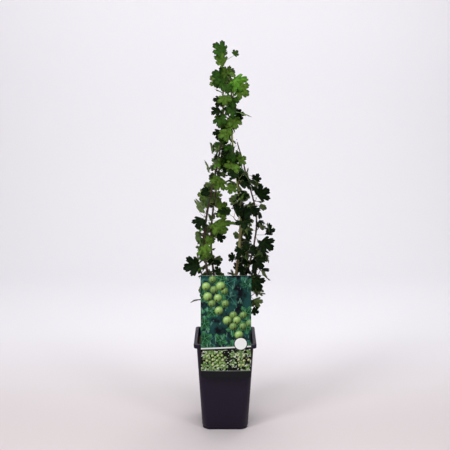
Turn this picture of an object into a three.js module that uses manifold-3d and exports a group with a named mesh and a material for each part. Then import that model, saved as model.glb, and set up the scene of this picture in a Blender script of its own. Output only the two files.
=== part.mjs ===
// A young gooseberry bush in a square nursery pot, in millimetres, +Z up.
// The origin is the middle of the pot's flat underside. -Y is the front, where the picture label hangs.
import * as THREE from "three";
import { mergeVertices } from "three/addons/utils/BufferGeometryUtils.js";
import Module from "manifold-3d";

const wasm = await Module();
wasm.setup();

// ---- Driving dimensions -----------------------------------------------------------------------------

const GAP = 0.3; // between solids that touch on the real plant
const UP = new THREE.Vector3(0, 0, 1);

const POT = {
  height: 222,
  rimHalf: 75, // half the width over the rim
  wallTopHalf: 68.5, // half the width of the wall just under the rim
  footHalf: 56, // half the width at the foot
  rimCorner: 7, // corner radius at the rim
  footCorner: 20, // corner radius at the foot
  wall: 1.8,
  floor: 2.6,
  skirt: 9.5, // how far the rim's outer edge turns down
  footStep: 8, // height of the slightly narrower foot
  footInset: 0.9,
  drainRadius: 6,
  drainAt: 30, // each drain hole's distance from both centre lines
};
const CORNER_STEPS = 3;

const SOIL = { top: 204, clear: 0.4 };

const LABEL = {
  centreX: 2,
  width: 119,
  bottom: 140,
  top: 392,
  board: 0.8,
  corner: 9, // radius of the two lower corners
  clear: 0.4, // between the board and the rim, and between the tongue and the rim
  tongueWidth: 36,
  tongueThick: 0.8,
  tongueFoot: 209,
};

const CROWN = {
  flare: 15, // radius of the root flare on the soil
  waist: 9.5,
  head: 11, // radius where the stems part
  height: 34,
  lean: 0.09, // sideways shift for each millimetre of rise
  sides: 10,
  flutes: 5, // ridges round the flare
  fluting: 0.13,
};

// Main stems. The knots are pairs of distance from the middle and height: a stem bows out to its belly, is
// gathered in again, and ends at its tip. It leaves the crown at a bearing (degrees, 0 = +X, 90 = +Y) that
// swings by "turn" on its way. "foot" is its radius at the foot, and its side shoots spread about "face".
const STEMS = [
  {
    name: "left",
    knots: [[56, 460], [15, 705], [14, 892]],
    foot: 3.5,
    shoots: 7,
    bearing: 205,
    turn: -14,
    face: 226,
  },
  {
    name: "left_low",
    knots: [[36, 318], [54, 360], [66, 402]],
    foot: 2.4,
    shoots: 3,
    bearing: 166,
    turn: 12,
    face: 175,
  },
  {
    name: "left_back",
    knots: [[54, 450], [15, 690], [14, 815]],
    foot: 3.3,
    shoots: 6,
    bearing: 128,
    turn: 16,
    face: 128,
  },
  {
    name: "right_back",
    knots: [[58, 470], [14, 705], [17, 846]],
    foot: 3.6,
    shoots: 7,
    bearing: 58,
    turn: -22,
    face: 28,
  },
  {
    name: "right",
    knots: [[74, 490], [42, 636], [24, 694]],
    foot: 3.2,
    shoots: 6,
    bearing: 12,
    turn: -2,
    face: 5,
  },
  {
    name: "right_low",
    knots: [[36, 300], [56, 330], [68, 352]],
    foot: 2.4,
    shoots: 3,
    bearing: 346,
    turn: 4,
    face: 350,
  },
  {
    name: "front",
    knots: [[56, 515], [19, 700], [12, 838]],
    foot: 3.4,
    shoots: 7,
    bearing: 306,
    turn: 0,
    face: 268,
  },
];
const STEM = {
  heart: [2, 222], // where every stem starts inside the crown
  shoulder: [16, 256],
  stubTop: 252, // the stretch of each stem below this height belongs to the crown
  tipRadius: 1.2,
  sides: 6,
  sections: 12, // straight pieces from a stem's foot to its tip
  samples: 200, // points along a stem that twigs and leaves are kept clear of
  firstShoot: 105, // rise from the heart to a stem's lowest shoot
  crowding: 0.94, // below 1, the shoots stand closer together towards the tip
  lean: 8, // how far the whole bush leans to the right at its top
};

// A shoot is one mass of foliage: a twig with a fork, and leaves on stalks all round both.
const SHOOT = {
  low: 44, // twig length at the pot's rim
  high: 20, // and at the top of the bush
  foot: 1.6,
  tip: 1.1,
  joints: 3,
  rise: 48, // degrees between a twig and the line straight out from its stem
  lowSwing: 62, // how far the shoots spread either side of a stem's face, at its foot
  highSwing: 20, // and at its tip
  leaves: 7,
  forkAt: 0.3,
  forkShare: 0.55,
  forkLeaves: 4,
  footRoom: 5, // radius of the room kept free for a twig's foot
  heartOut: 17, // middle of a shoot's space, from its base
  heartUp: 8,
};
const STALK = {
  length: [7, 17],
  radius: 0.5,
  foot: 0.25, // radius where it is sunk in its twig
  opening: [40, 88], // degrees between stalk and twig
  seats: [0.2, 0.95], // stretch of the twig that bears leaves
};
const LEAF = {
  size: [20, 29], // from the palm, where the veins meet, to the tip of the middle lobe
  thickness: 1.2, // at the palm
  base: 0.2, // from the palm back to the stalk's end, as a share of the size
  droop: [-1.2, 0.1],
  curl: [-0.26, 0.14],
  spacing: 0.4, // least distance between two palms, as a share of the two sizes
};
const GOLDEN_ANGLE = 137.5; // degrees between one leaf and the next round a twig
const SHOOT_TURN = 2.3; // radians between one shoot and the next in their swing about a stem's face
const DRAWS = 48; // tries at a place for each leaf or twig, each freer than the last
const TWIG_KEY = 7000; // seeds that keep the draws for twigs, forks and leaves apart
const FORK_KEY = 8000;
const FORK_LEAF_KEY = 40;
const SPACE_MARGIN = 0.25; // each foliage mass stays this far inside its own space
const NEIGHBOUR_CLEAR = 5; // this far from the pot and the label
const LIMB_CLEAR = 0.6; // and this far from the stems, but for the foot of its own twig

// Half the outline of a five-lobed leaf: degrees from the middle lobe, and reach as a share of its size.
const LOBES = [
  [24, 0.76],
  [46, 0.95],
  [79, 0.66],
  [108, 0.8],
];

const COLOURS = {
  pot: 0x242128,
  soil: 0x3a2a20,
  crown: 0x6b5443,
  stem: 0x7a6048,
  foliage: 0x3f6b2a,
  label: 0x6f9a4c,
};

// ---- Small helpers ----------------------------------------------------------------------------------

const radians = THREE.MathUtils.degToRad;
const mix = THREE.MathUtils.lerp;

function polar(bearing, radius, height) {
  return new THREE.Vector3(radius * Math.cos(radians(bearing)), radius * Math.sin(radians(bearing)), height);
}

/** The part of a vector at right angles to a unit vector, as a unit vector. */
function across(vector, unit) {
  return vector.clone().addScaledVector(unit, -vector.dot(unit)).normalize();
}

/** The point at a share of the way along a line of equal pieces, and the line's heading there. */
function pointAlong(points, share) {
  const place = Math.min(share * (points.length - 1), points.length - 1.0001);
  const joint = Math.floor(place);
  return {
    point: points[joint].clone().lerp(points[joint + 1], place - joint),
    heading: points[joint + 1].clone().sub(points[joint]).normalize(),
  };
}

/** A seeded generator of numbers between two bounds. The same keys always give the same numbers. */
function dice(...keys) {
  let state = keys.reduce((sum, key) => Math.imul(sum ^ key, 0x9e3779b1) >>> 0, 0x2545f491);
  return (low, high) => {
    state = (state + 0x6d2b79f5) >>> 0;
    let mixed = Math.imul(state ^ (state >>> 15), state | 1);
    mixed ^= mixed + Math.imul(mixed ^ (mixed >>> 7), mixed | 61);
    return low + ((high - low) * ((mixed ^ (mixed >>> 14)) >>> 0)) / 2 ** 32;
  };
}

// ---- Closed bodies ----------------------------------------------------------------------------------

/** A closed body through rings of equally many points, each end closed by a fan round its middle. */
function loft(rings) {
  const count = rings[0].length;
  const points = rings.flat();
  const index = [];
  for (let ring = 0; ring + 1 < rings.length; ring++) {
    for (let side = 0; side < count; side++) {
      const here = ring * count + side;
      const next = ring * count + ((side + 1) % count);
      index.push(here, next, next + count, here, next + count, here + count);
    }
  }
  for (const [start, turned] of [
    [0, true],
    [(rings.length - 1) * count, false],
  ]) {
    const middle = points.length;
    const sum = rings[start / count].reduce((total, point) => total.add(point), new THREE.Vector3());
    points.push(sum.divideScalar(count));
    for (let side = 0; side < count; side++) {
      const here = start + side;
      const next = start + ((side + 1) % count);
      index.push(middle, turned ? next : here, turned ? here : next);
    }
  }
  const geometry = new THREE.BufferGeometry().setFromPoints(points);
  geometry.setIndex(index);
  return geometry;
}

/** A tapering limb through points. Its ends are cut square to footAxis and endAxis where those are given. */
function limb(points, radii, sides, footAxis, endAxis) {
  let side = new THREE.Vector3(0.8, -0.5, 0.3); // any direction that no limb follows
  const rings = points.map((point, place) => {
    const before = points[Math.max(place - 1, 0)];
    const after = points[Math.min(place + 1, points.length - 1)];
    let along = after.clone().sub(before).normalize();
    if (place === 0 && footAxis) along = footAxis;
    if (place === points.length - 1 && endAxis) along = endAxis;
    side = across(side, along);
    const other = along.clone().cross(side);
    return Array.from({ length: sides }, (_, corner) => {
      const angle = (2 * Math.PI * corner) / sides;
      return point
        .clone()
        .addScaledVector(side, radii[place] * Math.cos(angle))
        .addScaledVector(other, radii[place] * Math.sin(angle));
    });
  });
  return loft(rings);
}

/** A geometry as a manifold solid, for joining and cutting. */
function solid(geometry) {
  const bare = geometry.clone();
  bare.deleteAttribute("normal");
  bare.deleteAttribute("uv");
  const merged = mergeVertices(bare, 1e-4);
  return new wasm.Manifold(
    new wasm.Mesh({
      numProp: 3,
      vertProperties: new Float32Array(merged.attributes.position.array),
      triVerts: new Uint32Array(merged.index.array),
    }),
  );
}

function fuse(geometries) {
  return geometries.map(solid).reduce((whole, piece) => whole.add(piece));
}

/** The largest shell of a solid. Loose scraps are dropped, and hollows sealed inside it are filled. */
function geometryOf(manifold) {
  const { vertProperties, triVerts } = manifold.getMesh();
  const leader = Array.from({ length: vertProperties.length / 3 }, (_, vertex) => vertex);
  const leaderOf = (vertex) => {
    while (leader[vertex] !== vertex) vertex = leader[vertex] = leader[leader[vertex]];
    return vertex;
  };
  const triangles = [];
  for (let start = 0; start < triVerts.length; start += 3) triangles.push(triVerts.slice(start, start + 3));
  for (const [first, second, third] of triangles) {
    leader[leaderOf(second)] = leaderOf(first);
    leader[leaderOf(third)] = leaderOf(first);
  }
  const shells = Map.groupBy(triangles, ([vertex]) => leaderOf(vertex));
  const largest = [...shells.values()].reduce((most, shell) => (shell.length > most.length ? shell : most));
  const geometry = new THREE.BufferGeometry();
  geometry.setAttribute("position", new THREE.BufferAttribute(vertProperties, 3));
  geometry.setIndex(largest.flatMap((triangle) => [...triangle]));
  return mergeVertices(geometry.toNonIndexed(), 1e-5);
}

// ---- Pot and soil -----------------------------------------------------------------------------------

/** A level square ring with rounded corners, anticlockwise from above. */
function squareRing(half, corner, height) {
  const ring = [];
  for (let quarter = 0; quarter < 4; quarter++) {
    const centre = polar(45 + 90 * quarter, (half - corner) * Math.SQRT2, height);
    for (let step = 0; step <= CORNER_STEPS; step++) {
      ring.push(centre.clone().add(polar(90 * (quarter + step / CORNER_STEPS), corner, 0)));
    }
  }
  return ring;
}

/** Half the outer width of the wall, and its corner radius, at a height. */
function wallAt(height) {
  const share = height / POT.height;
  return [mix(POT.footHalf, POT.wallTopHalf, share), mix(POT.footCorner, POT.rimCorner, share)];
}

function wallRing(height, inset) {
  const [half, corner] = wallAt(height);
  return squareRing(half - inset, corner - inset / 2, height);
}

function potGeometry() {
  const skirtFoot = POT.height - POT.skirt;
  const body = loft([
    squareRing(POT.footHalf - POT.footInset - 1, POT.footCorner - 1, 0),
    squareRing(POT.footHalf - POT.footInset, POT.footCorner, 1),
    squareRing(wallAt(POT.footStep)[0] - POT.footInset, POT.footCorner, POT.footStep),
    wallRing(POT.footStep + 1, 0),
    wallRing(skirtFoot, 0),
    squareRing(POT.rimHalf - 0.6, POT.rimCorner, skirtFoot + 0.6),
    squareRing(POT.rimHalf, POT.rimCorner, POT.height - 1),
    squareRing(POT.rimHalf - 0.8, POT.rimCorner - 0.6, POT.height),
    squareRing(wallAt(POT.height)[0] - POT.wall + 0.8, POT.rimCorner - 0.6, POT.height),
    wallRing(POT.height - 1, POT.wall),
    wallRing(POT.floor, POT.wall),
  ]);
  let pot = solid(body);
  for (const x of [-POT.drainAt, POT.drainAt]) {
    for (const y of [-POT.drainAt, POT.drainAt]) {
      const drain = new THREE.CylinderGeometry(POT.drainRadius, POT.drainRadius, 4 * POT.floor, 8);
      drain.rotateX(Math.PI / 2);
      drain.translate(x, y, 0);
      pot = pot.subtract(solid(drain));
    }
  }
  return geometryOf(pot);
}

function soilGeometry() {
  const inset = POT.wall + SOIL.clear;
  return loft([wallRing(POT.floor + GAP, inset), wallRing(SOIL.top, inset)]);
}

// ---- Picture label ----------------------------------------------------------------------------------

/** A flat board with rounded lower corners, and a tongue on its back that hooks over the pot's rim. */
function labelGeometry() {
  const half = LABEL.width / 2;
  const outline = new THREE.Shape();
  outline.moveTo(half, LABEL.top);
  outline.lineTo(-half, LABEL.top);
  outline.lineTo(-half, LABEL.bottom + LABEL.corner);
  outline.absarc(-half + LABEL.corner, LABEL.bottom + LABEL.corner, LABEL.corner, Math.PI, 1.5 * Math.PI);
  outline.absarc(half - LABEL.corner, LABEL.bottom + LABEL.corner, LABEL.corner, -0.5 * Math.PI, 0);
  const flat = { depth: LABEL.board, bevelEnabled: false, curveSegments: 4 };
  const board = new THREE.ExtrudeGeometry(outline, flat);
  board.rotateX(Math.PI / 2);
  board.translate(LABEL.centreX, -(POT.rimHalf + LABEL.clear), 0);

  const back = -(POT.rimHalf + LABEL.clear);
  const root = back - LABEL.board / 2; // the tongue is sunk half-way into the board
  const behind = -(wallAt(POT.height)[0] - POT.wall - LABEL.clear - 0.8);
  const over = POT.height + LABEL.clear;
  const tongue = new THREE.Shape();
  tongue.moveTo(root, over);
  tongue.lineTo(behind, over);
  tongue.lineTo(behind, LABEL.tongueFoot);
  tongue.lineTo(behind + LABEL.tongueThick, LABEL.tongueFoot);
  tongue.lineTo(behind + LABEL.tongueThick, over + LABEL.tongueThick);
  tongue.lineTo(root, over + LABEL.tongueThick);
  const hook = new THREE.ExtrudeGeometry(tongue, { depth: LABEL.tongueWidth, bevelEnabled: false });
  hook.rotateX(Math.PI / 2);
  hook.rotateZ(Math.PI / 2);
  hook.translate(LABEL.centreX - LABEL.tongueWidth / 2, 0, 0);
  return geometryOf(fuse([board, hook]));
}

// ---- Crown and stems --------------------------------------------------------------------------------

/** A smooth line through knots of [reach, height], as the reach at a height. */
function smoothReach(knots, height) {
  const slope = (place) => {
    const [lowReach, lowHeight] = knots[Math.max(place - 1, 0)];
    const [highReach, highHeight] = knots[Math.min(place + 1, knots.length - 1)];
    return (highReach - lowReach) / (highHeight - lowHeight);
  };
  let place = 0;
  while (place < knots.length - 2 && height > knots[place + 1][1]) place++;
  const [startReach, start] = knots[place];
  const [endReach, end] = knots[place + 1];
  const share = (height - start) / (end - start);
  const rest = 1 - share;
  return (
    startReach * (1 + 2 * share) * rest * rest +
    endReach * (1 + 2 * rest) * share * share +
    (end - start) * share * rest * (slope(place) * rest - slope(place + 1) * share)
  );
}

/** The middle of a stem's smooth line at a height. */
function stemPoint(stem, height) {
  const knots = [STEM.heart, STEM.shoulder, ...stem.knots];
  const point = polar(stem.bearing + stem.turn * riseShare(stem, height), smoothReach(knots, height), height);
  point.x += (STEM.lean * (height - STEM.heart[1])) / (topOf(STEMS[0]) - STEM.heart[1]);
  return point;
}

/** The height of a stem's tip. */
function topOf(stem) {
  return stem.knots.at(-1)[1];
}

/** How far up its whole rise a stem is at a height, from 0 to 1. */
function riseShare(stem, height) {
  return (height - STEM.heart[1]) / (topOf(stem) - STEM.heart[1]);
}

/** The direction in which a stem runs at a height. */
function stemAlong(stem, height) {
  return stemPoint(stem, height + 1).sub(stemPoint(stem, height - 1)).normalize();
}

function stemRadius(stem, height) {
  return mix(stem.foot, STEM.tipRadius, riseShare(stem, height) ** 0.8);
}

/** Points and radii of a stem between two heights, at the ends of so many equal pieces. */
function stretch(stem, from, to, count) {
  const heights = Array.from({ length: count + 1 }, (_, place) => mix(from, to, place / count));
  return {
    points: heights.map((height) => stemPoint(stem, height)),
    radii: heights.map((height) => stemRadius(stem, height)),
  };
}

/** The straight pieces that a stem is made of above its stub. */
function courseOf(stem) {
  return stretch(stem, STEM.stubTop + GAP, topOf(stem), STEM.sections);
}

function stemGeometry(stem) {
  const { points, radii } = courseOf(stem);
  return limb(points, radii, STEM.sides, stemAlong(stem, STEM.stubTop));
}

/** The woody crown: a fluted foot that narrows to a waist, with the first stretch of every stem fused on. */
function crownGeometry() {
  const foot = SOIL.top + GAP;
  const profile = [
    [CROWN.flare, 0],
    [CROWN.flare * 0.8, 4],
    [CROWN.waist, 14],
    [CROWN.head, 22],
    [CROWN.head * 0.8, 30],
    [CROWN.head * 0.35, CROWN.height],
  ];
  const rings = profile.map(([radius, rise]) =>
    Array.from({ length: CROWN.sides }, (_, side) => {
      const bearing = (360 * side) / CROWN.sides;
      const flute = 1 + CROWN.fluting * (1 - rise / CROWN.height) * Math.cos(radians(CROWN.flutes * bearing));
      return polar(bearing, radius * flute, foot + rise).add(new THREE.Vector3(CROWN.lean * rise, 0, 0));
    }),
  );
  const stubs = STEMS.map((stem) => {
    const { points, radii } = stretch(stem, STEM.heart[1], STEM.stubTop, 2);
    return limb(points, radii, STEM.sides, undefined, stemAlong(stem, STEM.stubTop));
  });
  return geometryOf(fuse([loft(rings), ...stubs]));
}

// ---- Foliage ----------------------------------------------------------------------------------------

/** Where each shoot of a stem springs from: its base, its outward direction and the heart of its space. */
function shootsOf(stem, stemPlace) {
  const { points } = courseOf(stem);
  return Array.from({ length: stem.shoots }, (_, place) => {
    const isTip = place === stem.shoots - 1;
    const rise = topOf(stem) - STEM.heart[1];
    const share = (place / (stem.shoots - 1)) ** STEM.crowding;
    const height = STEM.heart[1] + mix(Math.min(STEM.firstShoot, rise / 2), rise, share);
    const riseOnCourse = (height - points[0].z) / (topOf(stem) - points[0].z);
    const { point: seat, heading: along } = pointAlong(points, riseOnCourse);
    const swing = mix(SHOOT.lowSwing, SHOOT.highSwing, share);
    const bearing = stem.face + swing * Math.sin(SHOOT_TURN * place + stemPlace);
    const outward = isTip ? along : across(polar(bearing, 1, 0), along);
    const base = seat.clone().addScaledVector(outward, isTip ? GAP : stemRadius(stem, height) + GAP);
    const heart = base.clone().addScaledVector(outward, SHOOT.heartOut);
    if (!isTip) heart.addScaledVector(UP, SHOOT.heartUp);
    const seed = 100 * stemPlace + place;
    return { name: `${stem.name}_${place + 1}`, isTip, base, outward, along, heart, seed };
  });
}

const shoots = STEMS.flatMap(shootsOf);

/** Whether a ball is in a shoot's own space: nearest to its heart, and clear of the pot and the label. */
function inSpace(point, shoot, radius = STALK.radius) {
  if (point.z < POT.height + NEIGHBOUR_CLEAR) return false;
  if (point.y < NEIGHBOUR_CLEAR - POT.rimHalf && point.z < LABEL.top + NEIGHBOUR_CLEAR) return false;
  return shoots.every((other) => {
    if (other === shoot) return true;
    const towards = other.heart.clone().sub(shoot.heart);
    const half = towards.length() / 2;
    return point.clone().sub(shoot.heart).dot(towards.normalize()) < half - radius - SPACE_MARGIN;
  });
}

/** What twigs and leaves are kept clear of: balls along the stems, and one round the foot of every twig. */
const obstacles = [
  ...STEMS.flatMap((stem) => {
    const { points } = courseOf(stem);
    return Array.from({ length: STEM.samples }, (_, place) => {
      const { point } = pointAlong(points, place / (STEM.samples - 1));
      return { point, radius: stemRadius(stem, point.z) };
    });
  }),
  ...shoots.map((shoot) => {
    const point = shoot.base.clone().addScaledVector(shoot.outward, SHOOT.footRoom / 2);
    return { point, radius: SHOOT.footRoom, owner: shoot };
  }),
];

/** Whether a ball round a point keeps clear of the stems and of other shoots' feet. */
function ballClear(centre, radius, shoot) {
  const near = (obstacle) => obstacle.point.distanceTo(centre) <= radius + obstacle.radius + LIMB_CLEAR;
  return !obstacles.some((obstacle) => obstacle.owner !== shoot && near(obstacle));
}

/** Whether a leaf's blade keeps clear of the stems and of other shoots' feet. */
function bladeClear({ palm, size }, loop, shoot) {
  const nearest = new THREE.Vector3();
  return !obstacles.some(({ point, radius, owner }) => {
    const reach = radius + LIMB_CLEAR + LEAF.thickness / 2;
    if (owner === shoot || point.distanceTo(palm) > 1.1 * size + reach) return false;
    return loop.some((corner, place) => {
      const facet = new THREE.Triangle(palm, corner, loop[(place + 1) % loop.length]);
      return facet.closestPointToPoint(point, nearest).distanceTo(point) <= reach;
    });
  });
}

/** The points of a twig that starts along a heading and bends upwards. */
function twigPoints(start, heading, length, joints, roll) {
  const points = [start.clone()];
  const direction = heading.clone();
  for (let joint = 0; joint < joints; joint++) {
    direction.add(new THREE.Vector3(roll(-0.16, 0.16), roll(-0.16, 0.16), roll(0.02, 0.2))).normalize();
    points.push(points[joint].clone().addScaledVector(direction, length / joints));
  }
  return points;
}

function twigRadii(joints, foot, tip) {
  return Array.from({ length: joints + 1 }, (_, joint) => mix(foot, tip, joint / joints));
}

/** One drawn place for a leaf. Its stalk leaves the twig at an angle, and its blade turns to the light. */
function drawLeaf(from, heading, azimuth, freedom, roll) {
  const opening = radians(roll(...STALK.opening));
  const swing = roll(-1, 1) * mix(30, 180, freedom);
  const side = across(UP, heading).applyAxisAngle(heading, radians(azimuth + swing));
  const stalk = heading.clone().multiplyScalar(Math.cos(opening)).addScaledVector(side, Math.sin(opening));
  const palm = from.clone().addScaledVector(stalk, roll(...STALK.length));
  const size = roll(...LEAF.size) * mix(1, 0.72, freedom);
  const outward = new THREE.Vector3(palm.x, palm.y, 0).normalize();
  const droop = roll(...LEAF.droop);
  const forward = stalk.clone().addScaledVector(outward, 0.2).addScaledVector(UP, droop).normalize();
  const light = outward.clone().multiplyScalar(1.1).addScaledVector(UP, 0.45);
  light.add(new THREE.Vector3(roll(-0.6, 0.6), roll(-0.6, 0.6), roll(-0.35, 0.35)));
  const normal = across(light, forward);
  return { from, palm, forward, normal, side: normal.clone().cross(forward), size, curl: roll(...LEAF.curl) };
}

/** The blade's rim from one basal lobe round the tip to the other, anticlockwise seen from its upper side. */
function leafRim({ palm, forward, normal, side, size, curl }) {
  const mirrored = LOBES.toReversed().map(([angle, reach]) => [-angle, reach]);
  return [...mirrored, [0, 1], ...LOBES].map(([angle, reach]) =>
    palm
      .clone()
      .addScaledVector(forward, size * reach * Math.cos(radians(angle)))
      .addScaledVector(side, size * reach * Math.sin(radians(angle)))
      .addScaledVector(normal, size * curl * reach * reach),
  );
}

/** Where a leaf's stalk meets its blade. */
function leafSeat({ palm, forward, size }) {
  return palm.clone().addScaledVector(forward, -LEAF.base * size);
}

/** A lobed blade and its three-sided stalk in one closed body, thick at the palm and thin at the rim. */
function leafGeometry(leaf) {
  const { from, palm, normal, side } = leaf;
  const rim = leafRim(leaf);
  const section = [side, side.clone().negate(), normal.clone().negate()]; // left, right and keel of the stalk
  const ringAt = (middle, radius) => section.map((edge) => middle.clone().addScaledVector(edge, radius));
  const lifts = [LEAF.thickness / 2, -LEAF.thickness / 2];
  const centres = lifts.map((lift) => palm.clone().addScaledVector(normal, lift));
  const points = [...rim, ...ringAt(leafSeat(leaf), STALK.radius), ...ringAt(from, STALK.foot), ...centres];

  const [left, right, keel, farLeft, farRight, farKeel, top, under] = points.keys().drop(rim.length);
  const upperLoop = [...rim.keys(), left, right];
  const lowerLoop = [...rim.keys(), left, keel, right];
  const index = [];
  upperLoop.forEach((here, place) => index.push(top, here, upperLoop[(place + 1) % upperLoop.length]));
  lowerLoop.forEach((here, place) => index.push(under, lowerLoop[(place + 1) % lowerLoop.length], here));
  for (const [near, next, farNext, far] of [
    [right, left, farLeft, farRight],
    [left, keel, farKeel, farLeft],
    [keel, right, farRight, farKeel],
  ]) {
    index.push(near, next, farNext, near, farNext, far);
  }
  index.push(farRight, farLeft, farKeel);
  const geometry = new THREE.BufferGeometry().setFromPoints(points);
  geometry.setIndex(index);
  return geometry;
}

/** Draws leaves round a twig, keeping the first of each that stays in its shoot's space and off the stems. */
function leavesOn(points, count, shoot, kept, key) {
  for (let place = 0; place < count; place++) {
    const { point, heading } = pointAlong(points, mix(...STALK.seats, place / (count - 1)));
    for (let draw = 0; draw < DRAWS; draw++) {
      const roll = dice(shoot.seed, key + place, draw);
      const leaf = drawLeaf(point, heading, GOLDEN_ANGLE * (place + key), draw / DRAWS, roll);
      const loop = [...leafRim(leaf), leafSeat(leaf)];
      const stalk = [0.3, 0.6, 0.9].map((share) => leaf.from.clone().lerp(leafSeat(leaf), share));
      const fits =
        [...loop, leaf.palm].every((corner) => inSpace(corner, shoot)) &&
        kept.every((other) => other.palm.distanceTo(leaf.palm) > LEAF.spacing * (other.size + leaf.size)) &&
        stalk.every((point) => ballClear(point, STALK.radius, shoot)) &&
        bladeClear(leaf, loop, shoot);
      if (fits) {
        kept.push(leaf);
        break;
      }
    }
  }
}

/** Draws a twig until one stays in its shoot's space and off the stems, and returns null if none does. */
function drawTwig(shoot, key, start, length, joints, headingOf) {
  for (let draw = 0; draw < DRAWS; draw++) {
    const roll = dice(shoot.seed, key, draw);
    const heading = headingOf(roll).normalize();
    const drawn = length * roll(0.8, 1.1) * mix(1, 0.6, draw / DRAWS);
    const points = twigPoints(start, heading, drawn, joints, roll);
    const fits = [0.25, 0.5, 0.75, 1].every((share) => {
      const { point } = pointAlong(points, share);
      return inSpace(point, shoot, SHOOT.foot) && ballClear(point, SHOOT.foot, shoot);
    });
    if (fits) return points;
  }
  return null;
}

/** The twigs and leaves of one shoot, by the rule that every shoot follows. */
function growShoot(shoot) {
  const length = mix(SHOOT.low, SHOOT.high, (shoot.base.z - POT.height) / (topOf(STEMS[0]) - POT.height));
  const main = drawTwig(shoot, TWIG_KEY, shoot.base, length, SHOOT.joints, (roll) => {
    const rise = radians(SHOOT.rise + roll(-14, 14));
    if (shoot.isTip) return shoot.along.clone();
    return shoot.outward.clone().multiplyScalar(Math.cos(rise)).addScaledVector(shoot.along, Math.sin(rise));
  });
  if (!main) return null;
  const radii = twigRadii(SHOOT.joints, SHOOT.foot, SHOOT.tip);
  const twigs = [{ points: main, radii, foot: shoot.outward }];
  const leaves = [];
  leavesOn(main, SHOOT.leaves, shoot, leaves, 0);
  const { point, heading } = pointAlong(main, SHOOT.forkAt);
  const fork = drawTwig(shoot, FORK_KEY, point, SHOOT.forkShare * length, 2, (roll) => {
    const side = across(UP, heading).applyAxisAngle(heading, radians(roll(-150, 150)));
    return side.multiplyScalar(roll(0.7, 1.1)).add(heading);
  });
  if (fork) {
    twigs.push({ points: fork, radii: twigRadii(2, 0.75 * SHOOT.foot, SHOOT.tip) });
    leavesOn(fork, SHOOT.forkLeaves, shoot, leaves, FORK_LEAF_KEY);
  }
  return { twigs, leaves };
}

/** One mass of foliage: its twigs, leaf stalks and leaves fused into one solid. */
function foliageGeometry({ twigs, leaves }) {
  const wood = twigs.map(({ points, radii, foot }) => limb(points, radii, 3, foot));
  return geometryOf(fuse([...wood, ...leaves.map(leafGeometry)]));
}

// ---- Assembly ---------------------------------------------------------------------------------------

function finish(colour, roughness) {
  return new THREE.MeshStandardMaterial({ color: colour, roughness, metalness: 0, flatShading: true });
}

function named(name, geometry, material) {
  const mesh = new THREE.Mesh(geometry, material);
  mesh.name = name;
  return mesh;
}

const bush = new THREE.Group();
bush.add(named("pot", potGeometry(), finish(COLOURS.pot, 0.45)));
bush.add(named("soil", soilGeometry(), finish(COLOURS.soil, 1)));
bush.add(named("label_card", labelGeometry(), finish(COLOURS.label, 0.35)));
bush.add(named("crown", crownGeometry(), finish(COLOURS.crown, 0.9)));
const bark = finish(COLOURS.stem, 0.8);
const foliage = finish(COLOURS.foliage, 0.6);
for (const stem of STEMS) bush.add(named(`stem_${stem.name}`, stemGeometry(stem), bark));
for (const shoot of shoots) {
  const grown = growShoot(shoot);
  if (grown) bush.add(named(`foliage_${shoot.name}`, foliageGeometry(grown), foliage));
}

export default bush;
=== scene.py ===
"""A young gooseberry bush in a tall square nursery pot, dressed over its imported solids.

Every piece is in metres, in the frame of the solids: the origin is the middle of the pot's
underside, +Z runs up the bush, and -Y is the front, where the picture card hangs.
"""

import math
from dataclasses import dataclass

import bmesh
import bpy
import numpy as np
from bpy.props import FloatProperty, FloatVectorProperty, IntProperty, PointerProperty
from bpy.types import Operator, Panel, PropertyGroup
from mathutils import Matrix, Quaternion, Vector, noise
from mathutils.geometry import closest_point_on_tri


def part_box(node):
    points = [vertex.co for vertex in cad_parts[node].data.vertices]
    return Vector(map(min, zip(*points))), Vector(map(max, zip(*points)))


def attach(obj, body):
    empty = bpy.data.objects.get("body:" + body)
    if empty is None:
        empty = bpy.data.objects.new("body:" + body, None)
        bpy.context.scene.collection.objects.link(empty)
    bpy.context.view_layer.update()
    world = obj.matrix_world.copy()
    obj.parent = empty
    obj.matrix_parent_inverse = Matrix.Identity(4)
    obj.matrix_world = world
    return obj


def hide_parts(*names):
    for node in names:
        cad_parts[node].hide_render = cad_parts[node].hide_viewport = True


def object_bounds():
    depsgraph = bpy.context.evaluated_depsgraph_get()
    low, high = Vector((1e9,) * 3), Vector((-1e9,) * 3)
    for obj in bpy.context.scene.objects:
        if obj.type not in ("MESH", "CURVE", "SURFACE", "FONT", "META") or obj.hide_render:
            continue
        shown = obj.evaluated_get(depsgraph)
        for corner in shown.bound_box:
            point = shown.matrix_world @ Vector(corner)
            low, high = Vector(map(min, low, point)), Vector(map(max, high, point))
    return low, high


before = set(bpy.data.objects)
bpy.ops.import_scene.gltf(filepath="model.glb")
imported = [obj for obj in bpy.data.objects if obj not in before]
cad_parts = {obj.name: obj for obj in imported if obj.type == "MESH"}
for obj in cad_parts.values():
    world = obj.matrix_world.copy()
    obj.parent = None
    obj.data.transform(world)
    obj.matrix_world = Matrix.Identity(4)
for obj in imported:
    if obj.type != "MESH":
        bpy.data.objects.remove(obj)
CAD_BOX = [list(corner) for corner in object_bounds()]

bl_info = {
    "name": "Gooseberry bush",
    "version": (1, 0, 0),
    "blender": (4, 5, 0),
    "location": "View3D > Sidebar > Bush",
    "description": "Builds a potted gooseberry bush over its packed solids",
    "category": "Add Mesh",
}

MM = 0.001
UP = Vector((0, 0, 1))
GOLDEN_ANGLE = 137.5  # degrees between one leaf and the next round a twig

POT_LOW, POT_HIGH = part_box("pot")
SOIL_LOW, SOIL_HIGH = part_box("soil")
CARD_LOW, CARD_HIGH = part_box("label_card")


# ---- Sizes and colours that a user would change ------------------------------------------------


def length(name, description, default):
    return FloatProperty(name=name, description=description, default=default, unit="LENGTH")


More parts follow.
